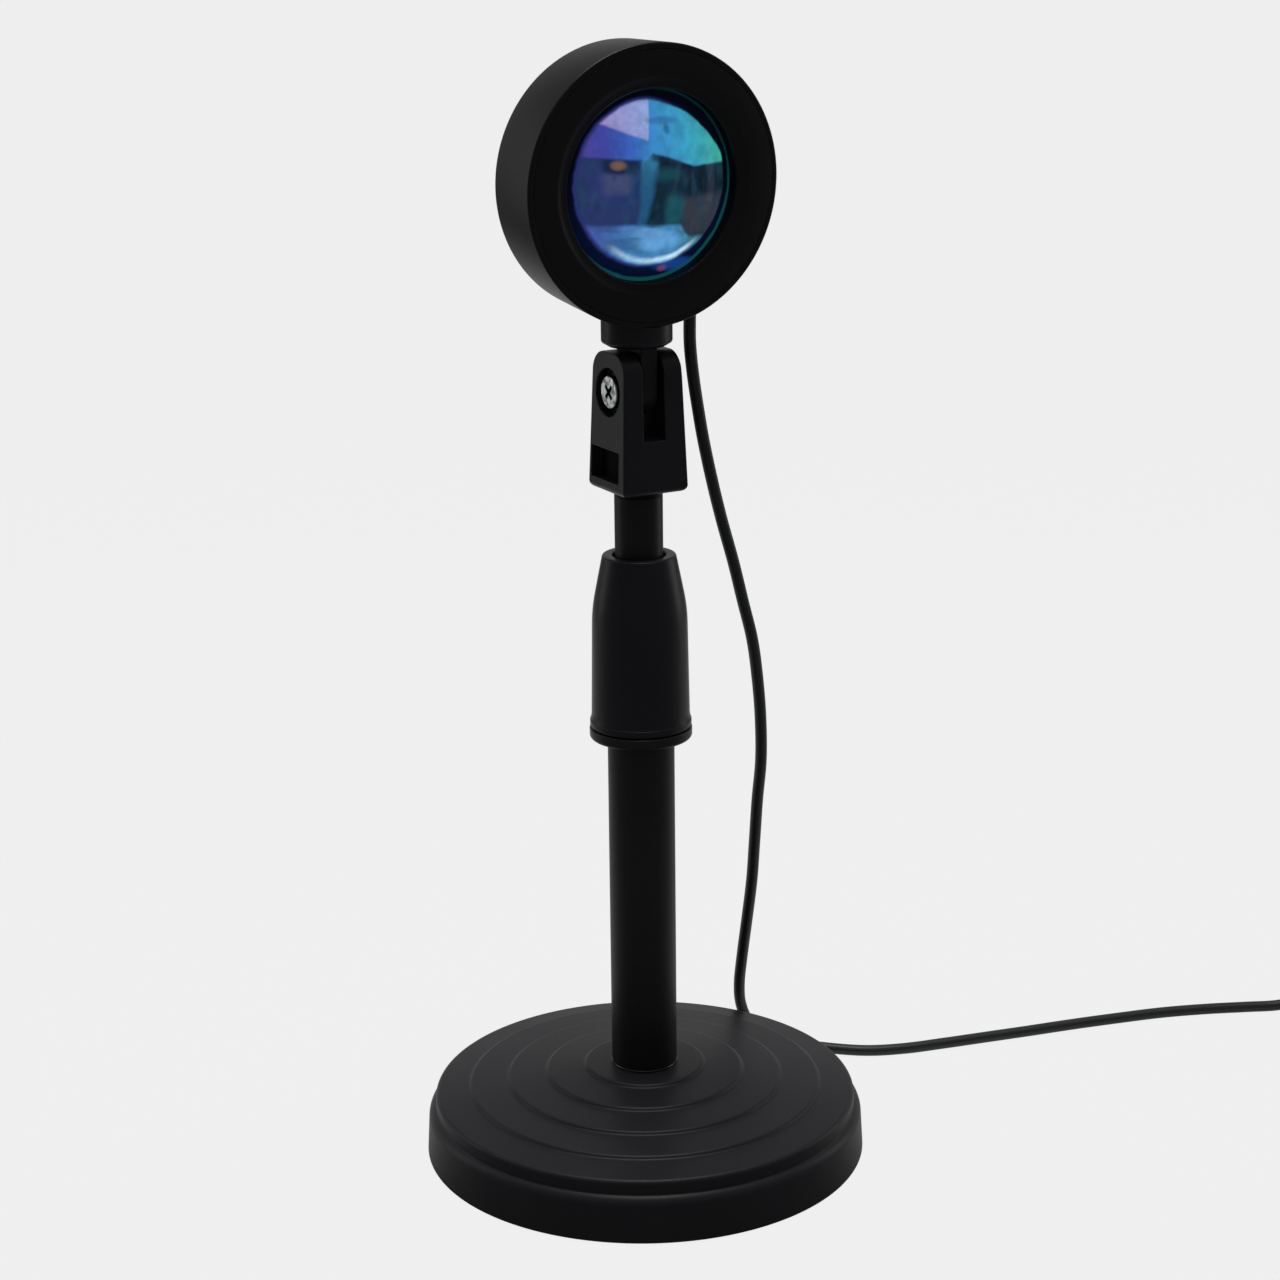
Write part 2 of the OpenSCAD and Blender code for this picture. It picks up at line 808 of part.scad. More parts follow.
module neck() {
    color(plastic_black)
        difference() {
            union() {
                rotate_extrude() polygon([
                    [0, neck_z],
                    [neck_r - neck_chamfer, neck_z],
                    [neck_r, neck_z + neck_chamfer],
                    [neck_r, drum_z - back_r / 2],
                    [0, drum_z - back_r / 2]
                ]);
                about_hinge(-tongue_w / 2, tongue_r, tongue_w);
                translate([-tongue_w / 2, -tongue_r, hinge_z])
                    cube([tongue_w, 2 * tongue_r, neck_z - hinge_z + over]);
            }
            about_hinge(-clip_foot_w, screw_r + running, 2 * clip_foot_w);
            in_drum()
                translate([0, 0, -half_t])
                    cylinder(h = 2 * drum_t, r1 = back_r + fit, r2 = 2 * face_r - back_r + fit);
            for (x = [-neck_screw_x, neck_screw_x])
                translate([x, 0, neck_screw_seat - neck_screw_l - over])
                    cylinder(h = drum_up, r = neck_screw_r + fit);
        }
}

module neck_screws() {
    color(zinc)
        for (x = [-neck_screw_x, neck_screw_x])
            translate([x, 0, neck_screw_seat]) {
                translate([0, 0, -neck_screw_l]) cylinder(h = neck_screw_l, r = neck_screw_r);
                cylinder(h = small_head_t, r = small_head_r);
            }
}

module around_posts() {
    for (a = [90, 210, 330])
        rotate([0, 0, a]) translate([post_ring_r, 0, 0]) children();
}

module lamp_housing() {
    color(satin_black)
        difference() {
            in_drum() {
                rotate_extrude() polygon(concat(
                    [[cavity_r, -half_t]],
                    arc([back_r - back_round, -half_t + back_round], back_round, 270, 360),
                    [[face_r, half_t - edge_break],
                     [face_r - edge_break, half_t],
                     [bezel_r, half_t],
                     [bezel_r, half_t - bezel_t],
                     [cavity_r, half_t - bezel_t]]
                ));
                around_posts()
                    translate([0, 0, cover_face]) cylinder(h = post_top - cover_face, r = post_r);
            }
            in_drum()
                around_posts()
                    translate([0, 0, cover_face - over])
                        cylinder(h = post_top - cover_face, r = small_screw_r + fit);
            for (x = [-neck_screw_x, neck_screw_x])
                translate([x, 0, neck_z]) cylinder(h = back_r / 2, r = neck_screw_r + 0.2);
            translate([cord_x, 0, neck_z]) cylinder(h = back_r / 2, r = grommet_r + fit);
        }
}

module front_bezel() {
    rim_r = bezel_r - running;
    color(satin_black)
        in_drum() rotate_extrude() polygon(concat(
            [[rim_r, half_t - bezel_t],
             [rim_r, half_t - edge_break],
             [rim_r - edge_break, half_t],
             [opening_r + dish_w, half_t]],
            arc([opening_r + 0.8, half_t - dish_depth - 0.8], 0.8, 90, 180),
            [[opening_r, half_t - lens_recess],
             [lip_r, half_t - lens_recess],
             [lip_r, bezel_tube_z],
             [bezel_tube_r, bezel_tube_z],
             [bezel_tube_r, half_t - bezel_t]]
        ));
}

module lens_gasket() {
    color([0.85, 0.87, 0.88])
        in_drum() translate([0, 0, lens_front]) ring(lens_r, opening_r + 0.2, gasket_t);
}

module front_lens() {
    sphere_z = lens_front - sqrt(pow(lens_curve, 2) - pow(dome_r, 2));
    color(glass_teal)
        in_drum() {
            translate([0, 0, lens_back]) cylinder(h = lens_edge_t, r = lens_r);
            intersection() {
                translate([0, 0, sphere_z]) sphere(r = lens_curve);
                translate([0, 0, lens_back]) cylinder(h = drum_t, r = dome_r);
            }
        }
}

module colour_filter() {
    color([0.9, 0.45, 0.25, 0.5])
        in_drum() translate([0, 0, lens_back - filter_t]) cylinder(h = filter_t, r = lens_r);
}

module lens_retainer() {
    color(satin_black)
        in_drum() translate([0, 0, retainer_z])
            ring(lip_r - running, retainer_bore_r, retainer_t);
}

module reflector() {
    slope = (reflector_rim_r - reflector_foot_r) / (reflector_top - board_top);
    back_off = reflector_wall * sqrt(1 + pow(slope, 2)) / slope;
    color([0.9, 0.9, 0.9])
        in_drum() rotate_extrude() polygon([
            [reflector_foot_r, board_top],
            [reflector_foot_r + slope * back_off, board_top],
            [reflector_rim_r + slope * back_off / 4, reflector_top - back_off * 3 / 4],
            [reflector_rim_r + slope * back_off / 4, reflector_top],
            [reflector_rim_r, reflector_top]
        ]);
}

module led_chip() {
    color([0.95, 0.85, 0.4])
        in_drum() translate([0, 0, board_top]) cylinder(h = led_t, r = led_r);
}

module around_board() {
    for (a = [90, 210, 330])
        rotate([0, 0, a]) translate([screw_ring_r, 0, 0]) children();
}

module led_board() {
    color([0.92, 0.93, 0.93])
        in_drum() translate([0, 0, board_z])
            difference() {
                cylinder(h = board_t, r = board_r);
                around_board() translate([0, 0, -over])
                    cylinder(h = board_t + 2 * over, r = small_screw_r + 0.15);
            }
}

module board_screws() {
    color(zinc)
        in_drum() around_board() {
            translate([0, 0, board_top]) cylinder(h = small_head_t - 0.1, r = small_head_r - 0.3);
            translate([0, 0, board_z - spreader_t * 0.8])
                cylinder(h = board_t + spreader_t * 0.8, r = small_screw_r);
        }
}

module heat_spreader() {
    color([0.7, 0.71, 0.72])
        in_drum() translate([0, 0, cover_face])
            difference() {
                cylinder(h = spreader_t, r = spreader_r);
                around_board() translate([0, 0, spreader_t * 0.15])
                    cylinder(h = spreader_t, r = small_screw_r + fit);
            }
}

module back_cover() {
    head_room = small_head_t + 0.1;
    color(satin_black)
        in_drum()
            difference() {
                translate([0, 0, -half_t]) cylinder(h = cover_t, r = cavity_r - running);
                around_posts() {
                    translate([0, 0, -half_t - over])
                        cylinder(h = cover_t + 2 * over, r = small_screw_r + 0.2);
                    translate([0, 0, -half_t - over])
                        cylinder(h = head_room + over, r = small_head_r + 0.2);
                }
            }
}

module cover_screws() {
    seat = -half_t + small_head_t + 0.1;
    color(zinc)
        in_drum() around_posts() {
            translate([0, 0, seat - small_head_t]) cylinder(h = small_head_t, r = small_head_r);
            translate([0, 0, seat]) cylinder(h = post_top - seat - 1.5, r = small_screw_r);
        }
}

module cord_grommet() {
    color(rubber_black)
        translate([cord_x, 0, 0])
            difference() {
                union() {
                    translate([0, 0, exit_z])
                        cylinder(h = flange_z + flange_t - exit_z, r = grommet_r);
                    translate([0, 0, flange_z]) cylinder(h = flange_t, r = flange_r);
                }
                translate([0, 0, exit_z - over])
                    cylinder(h = flange_z + flange_t - exit_z + 2 * over, r = cord_r + fit);
            }
}

module cord_clamp() {
    color([0.8, 0.8, 0.78])
        translate([cord_x, 0, flange_z + flange_t]) ring(clamp_r, cord_r + fit, clamp_t);
}

module cord_inner() {
    color(rubber_black)
        translate([cord_x, 0, exit_z]) cylinder(h = inner_top - exit_z, r = cord_r);
}

module inner_leads() {
    pad_z = board_top + lead_r;
    for (k = [-1, 1]) {
        aside = [k * lead_gap, 0, 0];
        start = to_drum([cord_x, 0, inner_top]);
        route = [
            start + aside,
            start + [0.1, 0.7, -0.3] + aside,
            start + [0.4, 0.95, -1.5] + aside,
            [cord_x + 0.3, start[1] + 1, bezel_tube_z - 1.9] + aside,
            [cord_x - 0.9, start[1] + 2.6, bezel_tube_z - 3] + aside,
            [16.5, -24, pad_z + 0.5] + aside,
            [13.5, -20, pad_z] + aside,
            [11, -16.5, pad_z] + aside
        ];
        color(k < 0 ? "firebrick" : [0.1, 0.1, 0.1])
            in_drum()
                tube_along(smooth_route(route, 2), lead_r, 6, [1, 0, 0],
                    [0, cos(face_droop), -sin(face_droop)], unit(route[7] - route[6]));
    }
}

// ---- cord, switch, coil and plug ----

module cord_run() {
    color(rubber_black)
        tube_along(smooth_route(run_route, cord_steps), cord_r, cord_sides,
            [0.48, 0.877, 0], [0, 0, -1], [dir_x, dir_y, 0]);
}

module switch_base() {
    color(plastic_black)
        at_switch()
            difference() {
                translate([0, 0, cord_lift])
                    rounded_plate(switch_l, switch_w, 2.5, switch_split - cord_lift);
                translate([0, 0, cord_lift + switch_wall])
                    rounded_plate(switch_l - 2 * switch_wall, switch_w - 2 * switch_wall, 1.3,
                        switch_h);
            }
}

module switch_cover() {
    color(plastic_black)
        at_switch()
            difference() {
                translate([0, 0, switch_split])
                    rounded_plate(switch_l, switch_w, 2.5, switch_h - switch_split);
                translate([0, 0, switch_split - over])
                    rounded_plate(switch_l - 2 * switch_wall, switch_w - 2 * switch_wall, 1.3,
                        switch_h - switch_split - switch_wall + over);
                cylinder(h = switch_h + over, r = button_r + 0.2);
            }
}

module switch_core() {
    color([0.2, 0.35, 0.6])
        at_switch()
            translate([-core_l / 2, -core_w / 2, core_z]) cube([core_l, core_w, core_top - core_z]);
}

module switch_button() {
    ceiling = switch_h - switch_wall;
    color([0.25, 0.25, 0.27])
        at_switch() {
            translate([0, 0, ceiling - running - button_flange_t])
                cylinder(h = button_flange_t, r = button_r + button_flange);
            rotate_extrude() polygon(concat(
                [[0, ceiling - running - button_flange_t],
                 [button_r, ceiling - running - button_flange_t]],
                arc([button_r - 0.5, switch_h + button_up - 0.5], 0.5, 0, 90),
                [[0, switch_h + button_up]]
            ));
        }
}

module switch_reliefs() {
    color(rubber_black)
        at_switch()
            for (turn = [0, 180])
                rotate([0, 0, turn])
                    translate([switch_l / 2, 0, switch_axis_z])
                        rotate([0, 90, 0])
                            cylinder(h = relief_l, r1 = relief_foot_r, r2 = relief_tip_r);
}

module cord_link() {
    a = switch_out(relief_l) + [0, 0, switch_axis_z];
    b = coil_start + [0, 0, coil_z];
    color(rubber_black)
        tube_along(level_link(a, b, 4), cord_r, cord_sides, [0, 0, 1],
            [dir_x, dir_y, 0], [dir_x, dir_y, 0]);
}

// Centre of the cord after t turns: in along the lower layer, out along the upper one
function coil_point(t) =
    let (reach = coil_in_r + turn_pitch * abs(t - turns_per_layer),
         climb = min(max((t - turns_per_layer) * 2 + 0.5, 0), 1),
         a = switch_yaw + 90 - 360 * t)
    [coil_centre[0] + reach * cos(a),
     coil_centre[1] + reach * sin(a),
     coil_z + turn_pitch * climb * climb * (3 - 2 * climb)];
coil_heading = [sin(coil_end_angle), -cos(coil_end_angle), 0];
coil_path = concat(
    [coil_start + [0, 0, coil_z]],
    [for (i = [0:coil_rings * coil_turns]) coil_point(i / coil_rings)],
    [coil_point(coil_turns) + cord_d * coil_heading]
);
coil_end = coil_path[len(coil_path) - 1];
tail_end = [coil_end[0], coil_end[1], 0] + tail_l * coil_heading
    + [0, 0, plug_axis_z];
least_gap = min([for (i = [0:len(coil_path) - 1], j = [i + coil_rings / 2:1:len(coil_path) - 1])
    norm(coil_path[i] - coil_path[j])]) - cord_d;
echo(least_gap_between_turns = least_gap);
echo(cord_length = path_length(smooth_route(run_route, cord_steps)) + switch_l + 2 * relief_l
    + link_l + path_length(coil_path) + tail_l);

module cord_coil() {
    color(rubber_black)
        tube_along(coil_path, cord_r, coil_sides, [0, 0, 1], [dir_x, dir_y, 0], coil_heading);
}

module coil_tie() {
    inner = coil_in_r - cord_r - 0.7;
    outer = coil_out_r + cord_r + 0.4;
    low = coil_z - cord_r - tie_air;
    high = coil_z + turn_pitch + cord_r + tie_air;
    color([0.12, 0.12, 0.12])
        translate([coil_centre[0], coil_centre[1], 0])
            rotate([0, 0, tie_angle])
                difference() {
                    translate([inner - tie_t, -tie_w / 2, low - tie_t])
                        cube([outer - inner + 2 * tie_t, tie_w, high - low + 2 * tie_t]);
                    translate([inner, -tie_w, low])
                        cube([outer - inner, 2 * tie_w, high - low]);
                }
}

module cord_tail() {
    color(rubber_black)
        tube_along(level_link(coil_end, tail_end, 4), cord_r, cord_sides, [0, 0, 1],
            coil_heading, coil_heading);
}

// A block of the plug, from one place along its axis to another
module plug_block(from, to, w, h, up = 0) {
    translate([from, -w / 2, up - h / 2]) cube([to - from, w, h]);
}

module plug_body() {
    front = plug_relief_l + plug_l;
    color(plastic_black)
        at_plug() {
            rotate([0, 90, 0]) cylinder(h = plug_relief_l, r1 = relief_tip_r, r2 = 3.4);
            difference() {
                translate([plug_relief_l + plug_l / 2, 0, 0])
                    rotate([0, 90, 0])
                        translate([0, 0, -plug_l / 2])
                            rounded_plate(plug_h, plug_w, plug_round, plug_l);
                plug_block(front - usb_root, front + over, usb_w + 2 * fit, usb_h + 2 * fit);
            }
        }
}

module plug_shell() {
    front = plug_relief_l + plug_l;
    color(steel)
        at_plug()
            difference() {
                plug_block(front - usb_root, front + usb_l, usb_w, usb_h);
                plug_block(front - usb_root - over, front + usb_l + over,
                    usb_w - 2 * usb_wall, usb_h - 2 * usb_wall);
            }
}

usb_gap_w = usb_w - 2 * usb_wall;
usb_gap_h = usb_h - 2 * usb_wall;
tongue_t = 1.8;
tongue_up = -usb_gap_h / 2 + tongue_t / 2;

module plug_tongue() {
    front = plug_relief_l + plug_l;
    color([0.95, 0.95, 0.95])
        at_plug()
            plug_block(front - usb_root, front + usb_l - 0.5, usb_gap_w - tongue_air, tongue_t,
                tongue_up);
}

module plug_contacts() {
    front = plug_relief_l + plug_l;
    color(brass)
        at_plug()
            for (i = [0:contact_count - 1])
                translate([0, (i - (contact_count - 1) / 2) * contact_pitch, 0])
                    plug_block(front, front + usb_l - 2, contact_w, contact_t,
                        tongue_up + tongue_t / 2 + contact_t / 2);
}

base_shell();
base_weight();
base_pad();
base_bolt();
bolt_washer();
foot_washer();
foot_plug();
outer_tube();
collar_ring();
collet();
twist_sleeve();
inner_rod();
rod_bush();
rod_stud();
clip_body();
thread_insert();
hinge_screw();
hinge_nut();
hinge_washers();
neck();
neck_screws();
lamp_housing();
front_bezel();
lens_gasket();
front_lens();
colour_filter();
lens_retainer();
reflector();
led_chip();
led_board();
board_screws();
heat_spreader();
back_cover();
cover_screws();
cord_grommet();
cord_clamp();
cord_inner();
inner_leads();
cord_run();
switch_base();
switch_cover();
switch_core();
switch_button();
switch_reliefs();
cord_link();
cord_coil();
coil_tie();
cord_tail();
plug_body();
plug_shell();
plug_tongue();
plug_contacts();
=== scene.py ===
"""Sunset projection lamp: a round drum head with a coated dome lens, on a tilting
clip and a sliding rod, over a post and a stepped round base, with its cord."""

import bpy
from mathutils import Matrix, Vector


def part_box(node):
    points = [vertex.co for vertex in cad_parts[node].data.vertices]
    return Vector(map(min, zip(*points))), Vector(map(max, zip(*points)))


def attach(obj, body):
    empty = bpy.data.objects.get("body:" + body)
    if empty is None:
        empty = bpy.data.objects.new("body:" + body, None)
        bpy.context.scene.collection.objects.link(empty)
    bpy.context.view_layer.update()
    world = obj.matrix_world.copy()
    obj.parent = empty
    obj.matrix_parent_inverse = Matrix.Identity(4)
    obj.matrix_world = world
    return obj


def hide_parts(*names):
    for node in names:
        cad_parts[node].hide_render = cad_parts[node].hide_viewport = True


bl_info = {
    "name": "Sunset projection lamp",
    "version": (1, 0, 0),
    "blender": (4, 5, 0),
    "location": "3D View > Sidebar > Lamp",
    "description": "Dresses the lamp's frame and sets up its studio",
    "category": "Object",
}

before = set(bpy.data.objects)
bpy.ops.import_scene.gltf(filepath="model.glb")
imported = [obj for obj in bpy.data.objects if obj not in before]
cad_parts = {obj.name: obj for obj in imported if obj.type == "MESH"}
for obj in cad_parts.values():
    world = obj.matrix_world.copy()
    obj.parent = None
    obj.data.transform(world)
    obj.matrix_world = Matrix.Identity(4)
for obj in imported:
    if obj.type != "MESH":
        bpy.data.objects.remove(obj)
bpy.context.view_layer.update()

import math

import bmesh
import bpy
from mathutils import Matrix, Vector

MM = 0.001
TONGUE_RADIUS = 8 * MM


def low(node):
    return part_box(node)[0]


def high(node):
    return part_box(node)[1]


# ---------------- settings


def length(name, description, default):
    return bpy.props.FloatProperty(
        name=name, description=description, default=default, min=0.0, unit="LENGTH", precision=5
    )


def angle(name, description, default):
    return bpy.props.FloatProperty(
        name=name, description=description, default=math.radians(default), unit="ROTATION"
    )


def colour(name, description, default):
    return bpy.props.FloatVectorProperty(
        name=name, description=description, default=default, size=3, min=0.0, max=1.0,
        subtype="COLOR",
    )


class LampSizes(bpy.types.PropertyGroup):
    """Sizes of the lamp that its drawn pieces follow."""

    skirt_height: length("Skirt height", "Height of the shoulder on the base", 16.2 * MM)
    skirt_edge: length("Skirt edge", "Radius of the skirt's rounded edge", 3.8 * MM)
    shoulder: length("Shoulder", "Width of the shoulder round the top plate", 3.2 * MM)
    plate_height: length("Plate height", "Height of the top plate", 20.9 * MM)
    terrace_rise: length("Terrace rise", "Height of each terrace", 2.15 * MM)
    terrace_width: length("Terrace width", "Width of each terrace", 13.2 * MM)
    hub_radius: length("Hub radius", "Radius of the innermost terrace", 21.4 * MM)
    sheet: length("Sheet", "Thickness of the base's sheet", 1.2 * MM)
    tread_slope: length("Tread slope", "How much each terrace climbs to the next step", 1.0 * MM)
    drum_back: length("Drum back radius", "Radius of the drum at its back", 43.0 * MM)
    drum_depth: length("Drum depth", "Depth of the drum", 26.3 * MM)
    drum_wall: length("Drum wall", "Wall of the drum at its back", 2.1 * MM)
    face_droop: angle("Face droop", "How far the face looks down", 2.7)
    opening: length("Opening", "Radius of the opening in the face", 30.0 * MM)
    lens_recess: length("Lens recess", "Depth of the lens's rim behind the face", 5.6 * MM)
    lens_curve: length("Lens curve", "Radius of curvature of the lens", 48.0 * MM)
    cord: length("Cord", "Diameter of the cord", 4.1 * MM)


class LampColours(bpy.types.PropertyGroup):
    """Colours of the lamp's finishes."""

    paint: colour("Paint", "Powder coat of the base and post", (0.0165, 0.0167, 0.0200))
    plastic: colour(
        "Plastic", "Moulded plastic of the collar, sleeve and clip", (0.0150, 0.0155, 0.0188)
    )
    head: colour("Head", "Coat of the drum", (0.0088, 0.0088, 0.0104))
    rubber: colour("Rubber", "Sheath of the cord", (0.0170, 0.0190, 0.0205))
    zinc: colour("Zinc", "Plated screws", (0.62, 0.64, 0.66))
    # the three lens colours tint its painted reflection of the bright room above
    lens_left: colour("Lens left", "Coat of the lens at its left", (0.052, 0.058, 0.36))
    lens_middle: colour("Lens middle", "Coat of the lens in its middle", (0.045, 0.27, 0.60))
    lens_right: colour("Lens right", "Coat of the lens at its right", (0.05, 0.44, 0.33))


class LampStudio(bpy.types.PropertyGroup):
    """Camera and light of the studio."""

    camera_distance: length("Camera distance", "Distance of the camera from the post", 854.66 * MM)
    camera_height: length("Camera height", "Height of the camera above the table", 425.13 * MM)
    camera_azimuth: angle("Camera azimuth", "Turn of the camera round the lamp", -28.8)
    camera_pitch: angle("Camera pitch", "How far the camera looks down", 15.997)
    camera_roll: angle("Camera roll", "Roll of the camera", -0.62)
    camera_lens: bpy.props.FloatProperty(
        name="Focal length", description="Focal length of the camera in millimetres",
        default=76.14, min=1.0, unit="CAMERA",
    )
    backdrop: colour("Backdrop", "Pale floor and backdrop", (0.896, 0.896, 0.896))


def sizes():
    return bpy.context.scene.lamp_sizes


def colours():
    return bpy.context.scene.lamp_colours


def studio():
    return bpy.context.scene.lamp_studio


# ---------------- materials

MIX_FIRST, MIX_SECOND, MIX_RESULT = 6, 7, 2  # the colour sockets of a Mix node


class Wire:
    """A shader socket that adds its own Math nodes when Python reckons with it."""

    def __init__(self, finish, socket):
        self.finish = finish
        self.socket = socket

    def math(self, operation, *values):
        inputs = dict(enumerate(values))
        return self.finish.node("ShaderNodeMath", {"operation": operation}, inputs)

    def __add__(self, other):
        return self.math("ADD", self, other)

    __radd__ = __add__

    def __sub__(self, other):
        return self.math("SUBTRACT", self, other)

    def __rsub__(self, other):
        return self.math("SUBTRACT", other, self)

    def __mul__(self, other):
        return self.math("MULTIPLY", self, other)

    __rmul__ = __mul__

    def __truediv__(self, other):
        return self.math("DIVIDE", self, other)

    def __pow__(self, other):
        return self.math("POWER", self, other)

    def above(self, edge, softness):
        """0 below the edge and 1 above it, with a soft step."""
        ends = {"From Min": edge - softness, "From Max": edge + softness, "Value": self}
        return self.finish.node("ShaderNodeMapRange", {"interpolation_type": "SMOOTHSTEP"}, ends)

    def between(self, first, last, softness):
        """1 between two edges and 0 outside them, with soft steps."""
        return self.above(first, softness) * (1.0 - self.above(last, softness))

    def at_least(self, other):
        return self.math("MAXIMUM", self, other)

    def at_most(self, other):
        return self.math("MINIMUM", self, other)

    def limited(self):
        """Kept from 0 to 1."""
        return self.at_most(1.0).at_least(0.0)

    def absolute(self):
        return self.math("ABSOLUTE", self)


class Finish:
    """One material, and the only place that makes nodes."""

    def __init__(self, name, tree=None):
        if tree is None:
            self.material = bpy.data.materials.new(name)
            self.material.use_nodes = True
            tree = self.material.node_tree
        self.tree = tree
        self.tree.nodes.clear()

    def node(self, kind, settings=None, inputs=None, output=0):
        """Adds a node with its settings and inputs, and gives the output that is read."""
        made = self.tree.nodes.new(kind)
        for key, value in (settings or {}).items():
            if key == "stops":
                self.set_stops(made.color_ramp, value)
            else:
                setattr(made, key, value)
        for key, value in (inputs or {}).items():
            if isinstance(value, Wire):
                self.tree.links.new(value.socket, made.inputs[key])
            else:
                made.inputs[key].default_value = value
        return Wire(self, made.outputs[output]) if made.outputs else None

    @staticmethod
    def set_stops(ramp, stops):
        for element in list(ramp.elements)[2:]:
            ramp.elements.remove(element)
        while len(ramp.elements) < len(stops):
            ramp.elements.new(0.5)
        for element, (place, shade) in zip(ramp.elements, stops):
            element.position = place
            element.color = (*shade, 1.0)

    def place(self):
        return self.node("ShaderNodeTexCoord", output="Object")

    def axis(self, name, place=None):
        split = {"Vector": place or self.place()}
        return self.node("ShaderNodeSeparateXYZ", inputs=split, output=name)

    def noise(self, size, detail, place=None, stretch=None):
        """Noise whose spots are about that many metres across."""
        where = place or self.place()
        if stretch:
            where = self.node("ShaderNodeMapping", inputs={"Vector": where, "Scale": stretch})
        inputs = {"Vector": where, "Scale": 1.0 / size, "Detail": detail, "Roughness": 0.55}
        return self.node("ShaderNodeTexNoise", inputs=inputs)

    def mix(self, factor, first, second):
        inputs = {"Factor": factor, MIX_FIRST: rgba(first), MIX_SECOND: rgba(second)}
        return self.node("ShaderNodeMix", {"data_type": "RGBA"}, inputs, output=MIX_RESULT)

    def bump(self, height, depth):
        return self.node("ShaderNodeBump", inputs={"Height": height, "Distance": depth})

    def along(self, vector, direction):
        """How far a vector goes in a direction."""
        ends = {0: vector, 1: direction}
        return self.node("ShaderNodeVectorMath", {"operation": "DOT_PRODUCT"}, ends, "Value")

    def reach(self, vector):
        """How long a vector is."""
        return self.node("ShaderNodeVectorMath", {"operation": "LENGTH"}, {0: vector}, "Value")

    def shine(self, kind, shade, strength):
        """A light that a surface or the world gives off."""
        return self.node(kind, inputs={"Color": rgba(shade), "Strength": strength})

    def either(self, factor, first, second):
        """One shader or the other, by a factor."""
        return self.node("ShaderNodeMixShader", inputs={0: factor, 1: first, 2: second})

    def surface(self, **inputs):
        """The surface's shader, from its sockets' names with a _ for each space."""
        named = {key.replace("_", " "): value for key, value in inputs.items()}
        if "Specular" in named:
            named["Specular IOR Level"] = named.pop("Specular")
        for key in ("Base Color", "Emission Color"):
            if key in named:
                named[key] = rgba(named[key])
        return self.node("ShaderNodeBsdfPrincipled", inputs=named)

    def finish(self, shader):
        self.node("ShaderNodeOutputMaterial", inputs={"Surface": shader})
        return self.material


def rgba(shade):
    return shade if isinstance(shade, Wire) else (*shade, 1.0)


def lighter(shade, times):
    return tuple(min(1.0, part * times) for part in shade)


def black_coat(name, shade, roughness, grain, depth, specular, cloud):
    """Painted or moulded black: fine grain, cloudy gloss and a faint change of tone."""
    made = Finish(name)
    fine = made.noise(grain, 2.0)
    wide = made.noise(cloud, 3.0)
    tone = made.mix(wide, shade, lighter(shade, 1.35))
    rough = roughness + 0.10 * (wide - 0.5) + 0.08 * (fine - 0.5)
    normal = made.bump(fine, depth)
    return made.finish(
        made.surface(Base_Color=tone, Roughness=rough, Specular=specular, Normal=normal)
    )


def plated_metal(name, shade, roughness):
    """Plated or bare metal with fine turning marks and cloudy tone."""
    made = Finish(name)
    marks = made.noise(0.6 * MM, 3.0, stretch=(1.0, 1.0, 6.0))
    wide = made.noise(4 * MM, 2.0)
    tone = made.mix(wide, lighter(shade, 0.8), shade)
    rough = roughness + 0.15 * (marks - 0.5) + 0.10 * (wide - 0.5)
    normal = made.bump(marks, 0.02 * MM)
    return made.finish(made.surface(Base_Color=tone, Metallic=1.0, Roughness=rough, Normal=normal))


def plain_moulding(name, shade, roughness, specular=0.5):
    """Coloured moulded plastic or silicone with a fine skin."""
    made = Finish(name)
    fine = made.noise(0.4 * MM, 2.0)
    wide = made.noise(12 * MM, 2.0)
    tone = made.mix(wide, lighter(shade, 0.9), shade)
    rough = roughness + 0.10 * (fine - 0.5)
    normal = made.bump(fine, 0.01 * MM)
    return made.finish(
        made.surface(Base_Color=tone, Roughness=rough, Specular=specular, Normal=normal)
    )


def rough_casting(name, shade):
    made = Finish(name)
    grit = made.noise(0.8 * MM, 5.0)
    wide = made.noise(20 * MM, 3.0)
    tone = made.mix(wide, lighter(shade, 0.7), lighter(shade, 1.2))
    rough = 0.65 + 0.2 * (grit - 0.5)
    normal = made.bump(grit, 0.15 * MM)
    return made.finish(made.surface(Base_Color=tone, Metallic=0.6, Roughness=rough, Normal=normal))


